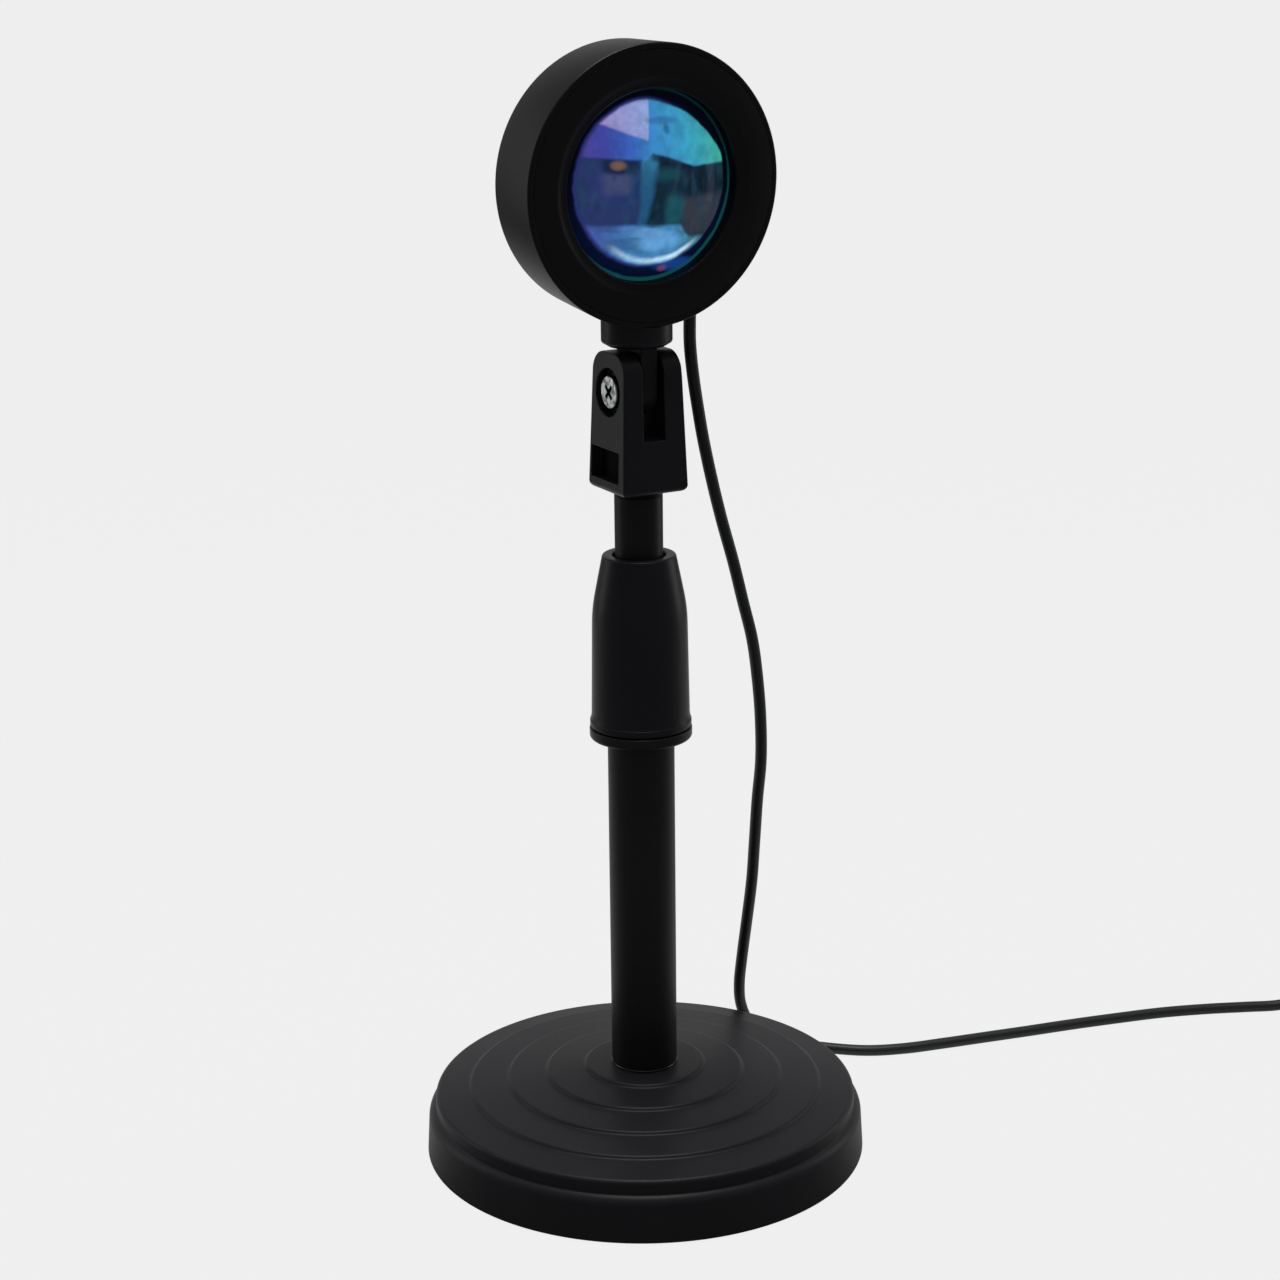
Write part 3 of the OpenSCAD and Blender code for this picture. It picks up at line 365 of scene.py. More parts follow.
class LensPaintedReflection(Finish):
    """The dome's colour coat, with a painted reflection of a room given off as glow. Its x and z
    are 1 at the opening's edge.
    """

    def __init__(self, name, centre, radius):
        super().__init__(name)
        self.at = self.place()
        x = (self.axis("X", self.at) - centre.x) / radius
        z = (self.axis("Z", self.at) - centre.z) / radius
        self.x = x + 0.06 * (self.noise(9 * MM, 3.0, self.at) - 0.5)
        self.z = z + 0.03 * (self.noise(6 * MM, 3.0, self.at) - 0.5)
        across, up = (self.x - 0.012) / 0.873, (self.z - 0.02) / 0.853
        glass = (across ** 2.0 + up ** 2.0) ** 0.5
        self.out = glass + 0.065 * self.spot(0.52, 0.68, 0.5, 0.33, 0.9)

    def spot(self, at_x, at_z, size_x, size_z, soft):
        """1 inside an ellipse and 0 outside it."""
        across, up = (self.x - at_x) / size_x, (self.z - at_z) / size_z
        return 1.0 - (across * across + up * up).above(1.0, soft)

    def spots(self, tone, *rows):
        """Adds soft spots: each with its place, size and softness, its strength and its colour."""
        for ellipse, strength, shade in rows:
            tone = self.mix(self.spot(*ellipse) * strength, tone, shade)
        return tone

    def sky(self):
        """Painted reflection of the bright room above: the coat from violet to green, with a pale
        wedge at its left.
        """
        x, z, shades = self.x, self.z, colours()
        stops = [
            (0.10, (0.075, 0.055, 0.32)), (0.22, shades.lens_left),
            (0.33, (0.045, 0.12, 0.52)), (0.48, shades.lens_middle),
            (0.66, (0.045, 0.36, 0.58)), (0.92, shades.lens_right),
        ]
        wash = self.node("ShaderNodeValToRGB", {"stops": stops}, {"Fac": x * 0.5 + 0.5}, "Color")
        wedge = (z + 0.38 * x).above(0.425, 0.02) * (1.0 - (x - 0.24 * z).above(-0.235, 0.015))
        pale = self.mix(x.above(-0.3, 0.3), (0.36, 0.30, 0.62), (0.33, 0.42, 0.76))
        # two darker spots: painted reflections of dark things in the room
        return self.spots(
            self.mix(wedge * 0.9, wash, pale),
            ((0.09, 0.66, 0.17, 0.04, 0.95), 0.6, (0.03, 0.11, 0.32)),
            ((0.11, 0.575, 0.035, 0.05, 0.95), 0.6, (0.02, 0.07, 0.18)),
        )

    def horizon(self):
        """The upper edge of the painted reflection's dark middle: a sloping wall and a gable."""
        wall = 0.263 - 0.08 * self.x - 3.0 * (self.x + 0.13).at_least(0.0)
        gable = (0.42 + 0.84 * self.x).at_most(0.316 - 0.31 * self.x)
        return wall.at_least(gable).at_least(0.185)

    def violet_field(self):
        # painted reflection of the room at the lens's left: violet, with a paler patch
        x, z = self.x, self.z
        tone = self.mix(x.above(-0.6, 0.35), (0.050, 0.036, 0.22), (0.011, 0.034, 0.13))
        tone = self.mix(z.above(-0.14, 0.08) * x.above(-0.62, 0.1), (0.022, 0.034, 0.13), tone)
        patch = z.between(-0.06, 0.16, 0.06) * x.between(-0.62, -0.34, 0.05)
        return self.mix(patch * 0.6, tone, (0.075, 0.085, 0.16))

    def dark_field(self):
        """Painted reflection of the room at the right: nearly black, with a grey field, two teal
        patches and a black block.
        """
        x, z = self.x, self.z
        grey = z.between(-0.56, -0.12, 0.07) * x.above(0.27, 0.06)
        tone = self.mix(grey, (0.003, 0.013, 0.016), (0.034, 0.037, 0.041))
        teal = x.between(0.06, 0.27, 0.06) * z.between(-0.42, -0.10, 0.08)
        teal = teal + x.between(-0.12, 0.22, 0.06) * z.between(0.06, 0.18, 0.05) * 0.6
        tone = self.mix(teal.limited() * 0.8, tone, (0.010, 0.10, 0.12))
        block = x.between(0.33, 0.78, 0.04) * z.between(-0.12, 0.14, 0.04)
        return self.mix(block * 0.9, tone, (0.002, 0.006, 0.007))

    def middle(self, depth):
        """The painted reflection of the room's dark middle, by how deep below the horizon a point
        is.
        """
        x, z = self.x, self.z
        column = self.mix(z.above(0.12, 0.2), (0.016, 0.10, 0.22), (0.035, 0.24, 0.42))
        tone = self.mix((x - 0.2 * z).above(-0.08, 0.04), column, self.dark_field())
        tone = self.mix((x - 0.05 * z).above(-0.23, 0.03), self.violet_field(), tone)
        roof = x.between(-0.10, 0.44, 0.04) * depth.between(0.0, 0.075, 0.03)
        beam = x.between(-0.62, -0.26, 0.04) * depth.between(0.01, 0.15, 0.03)
        tone = self.mix((roof + beam).limited() * 0.85, tone, (0.005, 0.006, 0.022))
        # painted reflection of the room's clutter, then small painted glints
        reflected_clutter = self.noise(5.5 * MM, 2.0, self.at, (1.0, 1.0, 0.7))
        tone = self.mix(reflected_clutter.above(0.52, 0.12) * 0.35, tone, (0.006, 0.022, 0.050))
        glints = self.noise(6 * MM, 1.5, self.at, (1.6, 1.0, 0.8))
        return self.mix(glints.above(0.60, 0.10) * 0.2, tone, (0.035, 0.11, 0.15))

    def painted_floor_reflection(self):
        # painted reflection of the pale floor below, with a brighter bank
        x = self.x
        tone = self.mix(x.above(-0.45, 0.35), (0.070, 0.10, 0.46), (0.075, 0.31, 0.62))
        tone = self.mix(x.above(0.36, 0.25), tone, (0.045, 0.20, 0.22))
        cloud = self.noise(9 * MM, 2.0, self.at, (1.0, 1.0, 1.8))
        tone = self.mix(cloud.above(0.5, 0.2) * 0.65, tone, (0.025, 0.08, 0.20))
        bank = self.spot(0.02, -0.57, 0.26, 0.10, 0.7) + self.spot(-0.14, -0.47, 0.18, 0.05, 0.7)
        return self.mix(bank.limited() * 0.6, tone, (0.16, 0.42, 0.78))

    def sweep(self):
        """How much of the white sweep, a painted highlight, shows along the glass's lower edge."""
        x, z = self.x, self.z
        band = (self.out + 0.05 * x * x).between(0.915, 0.975, 0.03)
        band = band * (0.0 - z).above(0.60, 0.08)
        return band * x.between(-0.5, 0.5, 0.14) * (0.5 + 0.5 * x.above(0.05, 0.3))

    def surround(self, tone):
        """Adds painted reflection round the glass's edge: the dark wall of the opening, the rim's
        thin green line and two coloured spots.
        """
        x, z = self.x, self.z
        wall = self.mix((0.0 - z).above(0.3, 0.5), (0.0005, 0.0008, 0.003), (0.001, 0.003, 0.018))
        wall = self.spots(wall, ((0.32, -0.85, 0.26, 0.07, 0.9), 0.8, (0.008, 0.05, 0.26)))
        halo = (self.out - 0.99).between(0.0, 0.04, 0.02) * (0.0 - x).above(-0.1, 0.5)
        wall = self.mix(halo * 0.6, wall, (0.035, 0.045, 0.26))
        tone = self.mix(self.out.above(1.0, 0.02), tone, wall)
        # the rim's green line is a painted highlight, brighter at the lower right
        lit = (0.25 + 0.75 * (0.3 * x - z).above(0.3, 0.6)).limited()
        edge = (x * x + z * z) ** 0.5
        tone = self.mix(edge.above(0.973, 0.010) * lit * 0.75, tone, (0.004, 0.075, 0.075))
        # two painted reflections of coloured things, orange and red
        return self.spots(
            tone,
            ((-0.46, 0.235, 0.075, 0.045, 1.0), 0.6, (0.26, 0.14, 0.06)),
            ((0.15, -0.885, 0.055, 0.035, 1.0), 0.5, (0.26, 0.05, 0.06)),
        )


def coated_lens(name, centre, radius):
    """The dome's material: a painted reflection of a room, given off as glow, bright above, dark
    across and bright below.
    """
    made = LensPaintedReflection(name, centre, radius)
    x, z = made.x, made.z
    depth = made.horizon() - z
    tone = made.mix(depth.above(0.0, 0.02), made.sky(), made.middle(depth))
    ledge = (-0.405 - 0.14 * x.above(0.34, 0.1) - 0.04 * x - z).above(0.0, 0.03)
    tone = made.mix(ledge, tone, made.painted_floor_reflection())
    # the white sweep is a painted highlight
    tone = made.mix(made.sweep(), tone, (0.62, 0.88, 1.0))
    # a smear on the glass: its roughness is real, its blue tint is painted reflection mottle
    smear_and_painted_mottle = made.noise(4 * MM, 5.0, made.at)
    tone = made.mix(smear_and_painted_mottle.above(0.52, 0.25) * 0.35, tone, (0.012, 0.035, 0.09))
    return made.finish(
        made.surface(
            Base_Color=(0.01, 0.02, 0.04), Roughness=0.08 + 0.10 * smear_and_painted_mottle, Specular=0.03,
            # the painted reflection is given off as glow, so the lens shines whatever light falls
            # on it
            Emission_Color=made.surround(tone), Emission_Strength=1.0,
        )
    )


# ---------------- mesh helpers

SHARP = 32.0  # degrees between two faces, above which their edge stays sharp or is rounded
FLAT = 0.5  # degrees between two faces, below which they are one face
MERGED = 0.0001 * MM
WIDE_TURN = 256  # segments of the base and the drum
WEIGHTS = "bevel_weight_edge"


def arc(centre, radius, start, end, steps=6):
    """Points of an arc in an outline, with its angles in degrees."""
    turns = [math.radians(start + (end - start) * i / steps) for i in range(steps + 1)]
    return [(centre[0] + radius * math.cos(t), centre[1] + radius * math.sin(t)) for t in turns]


def bend(first, corner, last, steps):
    """A curve that runs from one point to another and leans to a corner."""
    made = []
    for i in range(steps + 1):
        t = i / steps
        point = first * (1 - t) ** 2 + corner * 2 * t * (1 - t) + last * t ** 2
        made.append((point.x, point.y))
    return made


def rounded(points, radius, steps=3):
    """A closed outline with each corner rounded, by no more than its sides allow."""
    made = []
    for i, corner in enumerate(points):
        here = Vector(corner)
        before = Vector(points[i - 1]) - here
        after = Vector(points[(i + 1) % len(points)]) - here
        cut = min(radius, before.length * 0.4, after.length * 0.4)
        first = here + before.normalized() * cut
        last = here + after.normalized() * cut
        made += bend(first, here, last, steps)
    return made


def spun(outline, segments=160, closed=True):
    """A turned solid: the outline holds radius and height, and goes once round."""
    bm = bmesh.new()
    rim = [bm.verts.new((r, 0.0, z)) for r, z in outline]
    ends = rim[1:] + rim[:1] if closed else rim[1:]
    lines = [bm.edges.new(pair) for pair in zip(rim, ends)]
    bmesh.ops.spin(
        bm, geom=rim + lines, cent=(0, 0, 0), axis=(0, 0, 1), angle=math.tau,
        steps=segments, use_merge=True, use_duplicate=False,
    )
    bmesh.ops.remove_doubles(bm, verts=bm.verts, dist=MERGED)
    bmesh.ops.recalc_face_normals(bm, faces=bm.faces)
    return bm


def turned(bm, matrix):
    bmesh.ops.transform(bm, matrix=matrix, verts=bm.verts)
    return bm


def mesh_from(name, bm):
    mesh = bpy.data.meshes.new(name)
    bm.to_mesh(mesh)
    bm.free()
    return mesh


def added(name, data):
    """A new object in the scene."""
    made = bpy.data.objects.new(name, data)
    bpy.context.scene.collection.objects.link(made)
    return made


def piece(name, bm, material, body, *nodes, sharp=SHARP):
    """Turns a bmesh into a finished object that stands for its nodes and rides on a body."""
    mesh = mesh_from(name, bm)
    mesh.materials.append(material)
    mesh.shade_smooth()
    mesh.set_sharp_from_angle(angle=math.radians(sharp))
    made = added(name, mesh)
    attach(made, body)
    if nodes:
        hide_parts(*nodes)
    return made


def softened(node, weight=None, shape=None):
    """A copy of a node's mesh with flat faces made whole and its sharp edges weighted."""
    bm = bmesh.new()
    bm.from_mesh(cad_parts[node].data)
    bmesh.ops.remove_doubles(bm, verts=bm.verts, dist=0.002 * MM)
    bmesh.ops.dissolve_limit(
        bm, angle_limit=math.radians(FLAT), verts=bm.verts, edges=bm.edges
    )
    if shape:
        shape(bm)
    layer = bm.edges.layers.float.new(WEIGHTS)
    for edge in bm.edges:
        if len(edge.link_faces) == 2 and edge.calc_face_angle(0.0) > math.radians(SHARP):
            middle = (edge.verts[0].co + edge.verts[1].co) / 2
            edge[layer] = weight(middle) if weight else 1.0
    return bm


def round_edges(made, width, segments=3):
    """Rounds the weighted edges and keeps the flat faces flat."""
    bevel = made.modifiers.new("round_edges", "BEVEL")
    bevel.width = width
    bevel.segments = segments
    bevel.limit_method = "WEIGHT"
    bevel.use_clamp_overlap = False
    bevel.harden_normals = True
    return made


def rounded_copy(name, node, material, body, width, segments=3, weight=None, shape=None):
    """A piece from a node's own mesh, with its sharp edges rounded."""
    copy = softened(node, weight, shape)
    return round_edges(piece(name, copy, material, body, node), width, segments)


def drum_matrix():
    """From the drum's own frame, with z out of its face, to the lamp's."""
    return Matrix.Translation((0, 0, drum_centre())) @ Matrix.Rotation(
        math.radians(90) + sizes().face_droop, 4, "X"
    )


def drum_centre():
    lens_low, lens_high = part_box("lens_gasket")
    rim_depth = sizes().drum_depth / 2 - sizes().lens_recess
    return (lens_low.z + lens_high.z) / 2 + rim_depth * math.sin(sizes().face_droop)


def dress(node, material):
    """Gives a node that keeps its CAD shape a better material."""
    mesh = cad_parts[node].data
    mesh.materials.clear()
    mesh.materials.append(material)


def once(name, maker):
    """A material that several pieces share, made when it is first needed."""
    return bpy.data.materials.get(name) or maker(name)


# each black finish: its colour and the factor on it, its roughness, the size and depth of its
# grain, its specular level and the size of the clouds in its gloss
COATS = {
    "powder_coat": ("paint", 1.0, 0.42, 0.55 * MM, 0.03 * MM, 0.22, 30 * MM),
    "satin_plastic": ("plastic", 1.0, 0.38, 0.30 * MM, 0.012 * MM, 0.24, 20 * MM),
    # the pocket coat is painted shade: darker and rougher plastic for the clip's windows and slot
    "pocket_plastic": ("plastic", 0.4, 0.7, 0.30 * MM, 0.02 * MM, 0.05, 20 * MM),
    "satin_head": ("head", 1.0, 0.42, 0.35 * MM, 0.016 * MM, 0.24, 30 * MM),
    "cord_sheath": ("rubber", 1.0, 0.45, 0.8 * MM, 0.02 * MM, 0.55, 10 * MM),
    "foot_gasket": ("plastic", 1.0, 0.25, 0.3 * MM, 0.005 * MM, 0.9, 30 * MM),
    "switch_shell": ("plastic", 1.0, 0.42, 0.25 * MM, 0.02 * MM, 0.4, 10 * MM),
    "plug_overmould": ("plastic", 1.0, 0.48, 0.25 * MM, 0.02 * MM, 0.4, 10 * MM),
}


def coat(name):
    shade, times, *looks = COATS[name]
    tone = lighter(getattr(colours(), shade), times)
    return once(name, lambda n: black_coat(n, tone, *looks))


def screw_plating(head, hinge):
    """Zinc with patchy plating, and painted shade in its cross recess and deeper than 0.8 mm
    behind the head's face.
    """
    made = Finish("screw_plating")
    depth = (made.axis("X") - head) / MM
    patches = made.noise(2.0 * MM, 2.0)
    tone = made.mix(patches.above(0.47, 0.12), (0.26, 0.29, 0.30), lighter(colours().zinc, 1.55))
    up = made.axis("Z") - hinge
    across = made.axis("Y")
    first = (up + across).absolute() / MM
    second = (up - across).absolute() / MM
    arm, reach = first.at_most(second), first.at_least(second)
    cross = (1.0 - arm.above(1.3, 1.1)) * (1.0 - reach.above(4.2, 1.2))
    # painted shade in the cross recess
    tone = made.mix(cross * 0.6, tone, (0.12, 0.135, 0.14))
    # painted shade on the screw deeper than 0.8 mm behind the head's face
    tone = made.mix(depth.above(0.8, 0.2), tone, (0.03, 0.034, 0.037))
    rough = 0.32 + 0.25 * (patches - 0.5)
    marks = made.bump(made.noise(0.5 * MM, 3.0), 0.03 * MM)
    return made.finish(made.surface(Base_Color=tone, Metallic=1.0, Roughness=rough, Normal=marks))


def zinc():
    return once("zinc", lambda n: plated_metal(n, colours().zinc, 0.24))


# ---------------- stage

# each soft light's place to the camera's right, away from it and up, its width and length in
# metres, its power in watts and the point that it faces
SOFTBOXES = {
    "strip_left": (-0.95, 0.35, 0.38, 0.35, 1.1, 1.3, (0, 0, 0.2)),
    "strip_right": (0.95, 0.40, 0.30, 0.30, 1.0, 1.5, (0, 0, 0.2)),
    "overhead": (0.0, 0.15, 1.25, 0.7, 0.45, 4.0, (0, 0, 0)),
    "spark": (0.0, -0.1, 1.2, 0.34, 0.3, 2.6, (0, 0, 0)),
}
UP = Vector((0, 0, 1))
FLOOR_SIZE = 30.0


def camera_axes():
    """Unit vectors to the picture's right and away from the camera, level with the table."""
    turn = studio().camera_azimuth
    right = Vector((math.cos(turn), math.sin(turn), 0))
    return right, UP.cross(right)


def add_camera():
    right, away = camera_axes()
    pitch, roll = studio().camera_pitch, studio().camera_roll
    forward = away * math.cos(pitch) - UP * math.sin(pitch)
    up = away * math.sin(pitch) + UP * math.cos(pitch)
    rolled_right = right * math.cos(roll) + up * math.sin(roll)
    rolled_up = up * math.cos(roll) - right * math.sin(roll)
    turn = Matrix((rolled_right, rolled_up, -forward)).transposed().to_4x4()
    place = UP * studio().camera_height - away * studio().camera_distance
    data = bpy.data.cameras.new("camera")
    data.sensor_width = 36.0
    data.lens = studio().camera_lens
    data.clip_start = 0.01
    data.clip_end = 100.0
    camera = added("camera", data)
    camera.matrix_world = Matrix.Translation(place) @ turn
    bpy.context.scene.camera = camera


def add_softbox(name, side, depth, height, width, tall, power, aim):
    """A rectangular light, placed from the camera's point of view."""
    right, away = camera_axes()
    place = right * side + away * depth + UP * height
    data = bpy.data.lights.new(name, "AREA")
    data.shape = "RECTANGLE"
    data.size = width
    data.size_y = tall
    data.energy = power
    facing = (Vector(aim) - place).to_track_quat("-Z", "Y").to_matrix().to_4x4()
    added(name, data).matrix_world = Matrix.Translation(place) @ facing


def rays(made, kind):
    """1 for rays of a kind and 0 for others."""
    return made.node("ShaderNodeLightPath", output="Is {} Ray".format(kind))


def shown_to_eye(made):
    """1 for rays that show the background as it is, 0 for rays that light the lamp."""
    return (rays(made, "Camera") + rays(made, "Transmission")).limited()


def add_floor():
    made = Finish("pale_floor")
    backdrop = studio().backdrop
    lit = made.node("ShaderNodeBsdfDiffuse", inputs={"Color": rgba((0.5, 0.5, 0.5))})
    plain, dim, bright = (
        made.shine("ShaderNodeEmission", backdrop, strength) for strength in (1.0, 0.12, 0.95)
    )
    right, away = camera_axes()
    place = made.place()
    reach = made.reach(place)
    # close to the base the pale part of the floor comes further forward
    share = made.along(place, away) / (reach + MM) + 0.34 * (1.0 - reach.above(0.15, 0.06))
    aside = made.along(place, right).absolute()
    near = 1.0 - aside.above(0.5, 0.3)
    # the far floor, which the drum's side mirrors, is the palest
    far = reach.above(0.42, 0.12) * (1.0 - aside.above(0.3, 0.1))
    pale = share.above(0.2, 0.55) * near * (0.6 + 0.4 * far)
    seen = made.either(shown_to_eye(made) * 0.95, lit, plain)
    shader = made.either(rays(made, "Glossy"), seen, made.either(pale, dim, bright))
    bm = bmesh.new()
    bmesh.ops.create_grid(bm, x_segments=1, y_segments=1, size=FLOOR_SIZE)
    floor = added("floor", mesh_from("floor", bm))
    floor.data.materials.append(made.finish(shader))


def add_world():
    """Pale where it is seen, and a soft studio dome where it lights the lamp."""
    world = bpy.data.worlds.new("studio")
    world.use_nodes = True
    bpy.context.scene.world = world
    made = Finish("studio", world.node_tree)
    backdrop = studio().backdrop
    ray = made.node("ShaderNodeTexCoord", output="Generated")
    height = made.axis("Z", ray)
    behind = made.along(ray, camera_axes()[1])
    low_wall = 1.0 - 0.82 * height.above(0.445, 0.07)
    glow = 0.03 + 0.16 * height.above(0.6, 0.35) + 0.60 * behind.above(0.72, 0.24) * low_wall
    glow = glow + 0.04 * (0.0 - behind).above(0.2, 0.4)
    dome, plain = (made.shine("ShaderNodeBackground", backdrop, power) for power in (glow, 1.0))
    shader = made.either(shown_to_eye(made), dome, plain)
    made.node("ShaderNodeOutputWorld", inputs={"Surface": shader})


class LAMP_OT_stage(bpy.types.Operator):
    """Adds the camera, the pale floor and the soft lights"""

    bl_idname = "lamp.stage"
    bl_label = "Stage"

    def execute(self, context):
        context.scene.view_settings.view_transform = "Standard"
        add_camera()
        add_floor()
        add_world()
        for name, settings in SOFTBOXES.items():
            add_softbox(name, *settings)
        return {"FINISHED"}


# ---------------- cords

# millimetres: the routes repeat those of the part's source
EXIT = (19.5, 0, 286.5)
LIE = 2.15  # height of a lying cord's middle
ROUTE_STEPS = 8  # points of the cord's curve from one point of its route to the next
RUN_POINTS = [
    EXIT, (19.5, 0, 277), (20.5, 0, 267), (22.5, 0.5, 256),
    (25, 1, 244), (28.5, 1.5, 230), (33, 3, 216), (38, 4, 201),
    (43, 6, 186), (48, 8, 171), (52, 11, 155), (55, 14, 140),
    (57, 17, 124), (58, 21, 108), (59, 24.5, 91), (60, 28, 75),
    (61, 33, 58), (62, 38, 42), (63.5, 42.5, 29), (66, 45.5, 19),
    (70, 46, 10.5), (76, 43.5, 4.7), (84, 37, LIE + 0.3), (93, 27.5, LIE),
    (104, 18.5, LIE), (117, 13, LIE), (132, 9.5, LIE), (149, 6, LIE),
    (166, 2.5, LIE), (184, -1, LIE), (202, -5, LIE), (220, -9.5, LIE),
    (237, -15.5, LIE), (251, -21.5, LIE), (262, -27, LIE + 0.4),
]
SWITCH_AT = (302, -48)
SWITCH_TURN = -28.0
SWITCH_LENGTH = 36
SWITCH_AXIS = 4.75
RELIEF = 8
LEAD_IN = 8  # straight run into the switch
LINK = 12.4  # from the switch down to the coil
COIL_TURNS = 6.5
TURN_PITCH = 4.6
TURN_POINTS = 48
COIL_MIDDLE = 20.5  # middle radius of the coil's turns
COIL_LIE = 2.85
TAIL = 26  # from the coil to the plug
PLUG_AXIS = 4.0


def along_switch(distance, height):
    """A point on the switch's own line, so many millimetres from its middle."""
    turn = math.radians(SWITCH_TURN)
    return (
        SWITCH_AT[0] + distance * math.cos(turn),
        SWITCH_AT[1] + distance * math.sin(turn),
        height,
    )


def smooth_route(points, steps=ROUTE_STEPS):
    """Catmull-Rom curve through the points of a route."""
    points = [Vector(p) for p in points]
    ends = [2 * points[0] - points[1]] + points + [2 * points[-1] - points[-2]]
    made = []
    for a, b, c, d in zip(ends, ends[1:], ends[2:], ends[3:]):
        for i in range(steps):
            t = i / steps
            made.append(0.5 * (
                2 * b + (c - a) * t + (2 * a - 5 * b + 4 * c - d) * t * t
                + (3 * b - a - 3 * c + d) * t ** 3
            ))
    return made + [points[-1]]


def ease(t):
    return t * t * (3 - 2 * t)


def level_link(start, end, steps):
    """A straight run between two heights, level at both ends."""
    start, end = Vector(start), Vector(end)
    made = []
    for i in range(steps + 1):
        t = i / steps
        point = start.lerp(end, t)
        point.z = start.z + (end.z - start.z) * ease(t)
        made.append(point)
    return made


def coil_point(centre, turns):
    """The cord's middle so many turns in: inwards below, then outwards on top."""
    half = COIL_TURNS / 2
    inner = COIL_MIDDLE - half * TURN_PITCH / 2
    reach = inner + TURN_PITCH * abs(turns - half)
    climb = min(max((turns - half) * 2 + 0.5, 0), 1)
    at = math.radians(SWITCH_TURN + 90 - 360 * turns)
    return Vector((
        centre[0] + reach * math.cos(at),
        centre[1] + reach * math.sin(at),
        COIL_LIE + TURN_PITCH * ease(climb),
    ))


def coil_heading():
    at = math.radians(SWITCH_TURN + 90 - 360 * COIL_TURNS)
    return Vector((math.sin(at), -math.cos(at), 0))


def coil_centre():
    cord = sizes().cord / MM
    outer = COIL_MIDDLE + COIL_TURNS / 2 * TURN_PITCH / 2
    turn = math.radians(SWITCH_TURN)
    entry = Vector(along_switch(SWITCH_LENGTH / 2 + RELIEF + LINK + cord, 0))
    return entry - outer * Vector((-math.sin(turn), math.cos(turn), 0))


def lead_route():
    start = along_switch(-SWITCH_LENGTH / 2 - RELIEF - LEAD_IN, SWITCH_AXIS)
    end = along_switch(-SWITCH_LENGTH / 2 - RELIEF, SWITCH_AXIS)
    return [p * MM for p in smooth_route(RUN_POINTS + [start, end])]


def spare_route():
    """From the switch through the coil to the plug."""
    cord = sizes().cord / MM
    out = SWITCH_LENGTH / 2 + RELIEF
    made = level_link(along_switch(out, SWITCH_AXIS), along_switch(out + LINK, COIL_LIE), 12)
    centre = coil_centre()
    count = int(TURN_POINTS * COIL_TURNS)
    made += [coil_point(centre, i / TURN_POINTS) for i in range(count + 1)]
    end = made[-1] + cord * coil_heading()
    far = end + TAIL * coil_heading()
    far.z = PLUG_AXIS
    made += level_link(end, far, 16)
    return [p * MM for p in made]


def route_length(points):
    return sum((b - a).length for a, b in zip(points, points[1:]))


def cord_curve(name, points, material):
    data = bpy.data.curves.new(name, "CURVE")
    data.dimensions = "3D"
    data.bevel_depth = sizes().cord / 2
    data.bevel_resolution = 5
    data.use_fill_caps = True
    spline = data.splines.new("POLY")
    spline.points.add(len(points) - 1)
    for knot, point in zip(spline.points, points):
        knot.co = (*point, 1.0)
    spline.use_smooth = True
    data.materials.append(material)
    return added(name, data)


def switch_matrix():
    x, y, _ = along_switch(0, 0)
    return Matrix.Translation((x * MM, y * MM, 0)) @ Matrix.Rotation(
        math.radians(SWITCH_TURN), 4, "Z"
    )


def relief_outline(foot, tip, reach, ribs):
    """Tapered rubber sleeve with shallow ribs, from its foot to its tip."""
    groove, tip_edge = 0.35 * MM, 0.2 * MM
    made = [(0.0, 0.0)]
    for i in range(ribs):
        wide = foot + (tip - foot) * i / ribs
        narrow = foot + (tip - foot) * (i + 0.62) / ribs
        radii = (wide, narrow, narrow - groove, narrow - groove)
        heights = (reach * (i + share) / ribs for share in (0.06, 0.62, 0.70, 0.98))
        made += zip(radii, heights)
    return made + [(tip - tip_edge, reach), (0.0, reach)]


def add_switch_reliefs():
    bm = bmesh.new()
    outline = relief_outline(3.5 * MM, 2.7 * MM, RELIEF * MM, 4)
    for turn in (0, 180):
        part = spun(outline, 48, closed=False)
        place = (
            switch_matrix()
            @ Matrix.Rotation(math.radians(turn), 4, "Z")
            @ Matrix.Translation((SWITCH_LENGTH / 2 * MM, 0, SWITCH_AXIS * MM))
            @ Matrix.Rotation(math.radians(90), 4, "Y")
        )
        held = mesh_from("half", turned(part, place))
        bm.from_mesh(held)
        bpy.data.meshes.remove(held)
    return piece("switch_relief_pair", bm, coat("cord_sheath"), "stand", "switch_reliefs")


def add_tie():
    """Flat strap round one side of the coil, with its end lapped over."""
    strap = plain_moulding("strap", (0.010, 0.010, 0.011), 0.5)
    return rounded_copy("coil_strap", "coil_tie", strap, "stand", 0.2 * MM, 2)


class LAMP_OT_cords(bpy.types.Operator):
    """Adds the cord from the head to the switch, and the spare cord in its coil"""

    bl_idname = "lamp.cords"
    bl_label = "Cords"

    def execute(self, context):
        sheath = coat("cord_sheath")
        reliefs = add_switch_reliefs()
        tie = add_tie()
        lead_points = lead_route()
        lead = cord_curve("cord_lead", lead_points, sheath)
        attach(lead, "stand")
        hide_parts("cord_run")
        route_length(lead_points)
        spare_points = spare_route()
        spare = cord_curve("cord_spare", spare_points, sheath)
        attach(spare, "stand")
        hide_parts("cord_link", "cord_coil", "cord_tail")
        route_length(spare_points)
        return {"FINISHED"}


# ---------------- base and post


def riser(radius, foot, top, inset):
    """A pressed step in the base's outline: a hollow and a shoulder that meet in a soft S."""
    curve, setback = 1.3 * MM, 1 * MM
    turn = math.acos(1 - (top - foot) / (2 * curve))
    half = curve * math.sin(turn)
    turn = math.degrees(turn)
    middle = radius - setback
    hollow = arc((middle + half, foot + curve), curve + inset, 270, 270 - turn, 6)
    return hollow + arc((middle - half, top - curve), curve - inset, 90 - turn, 90, 6)


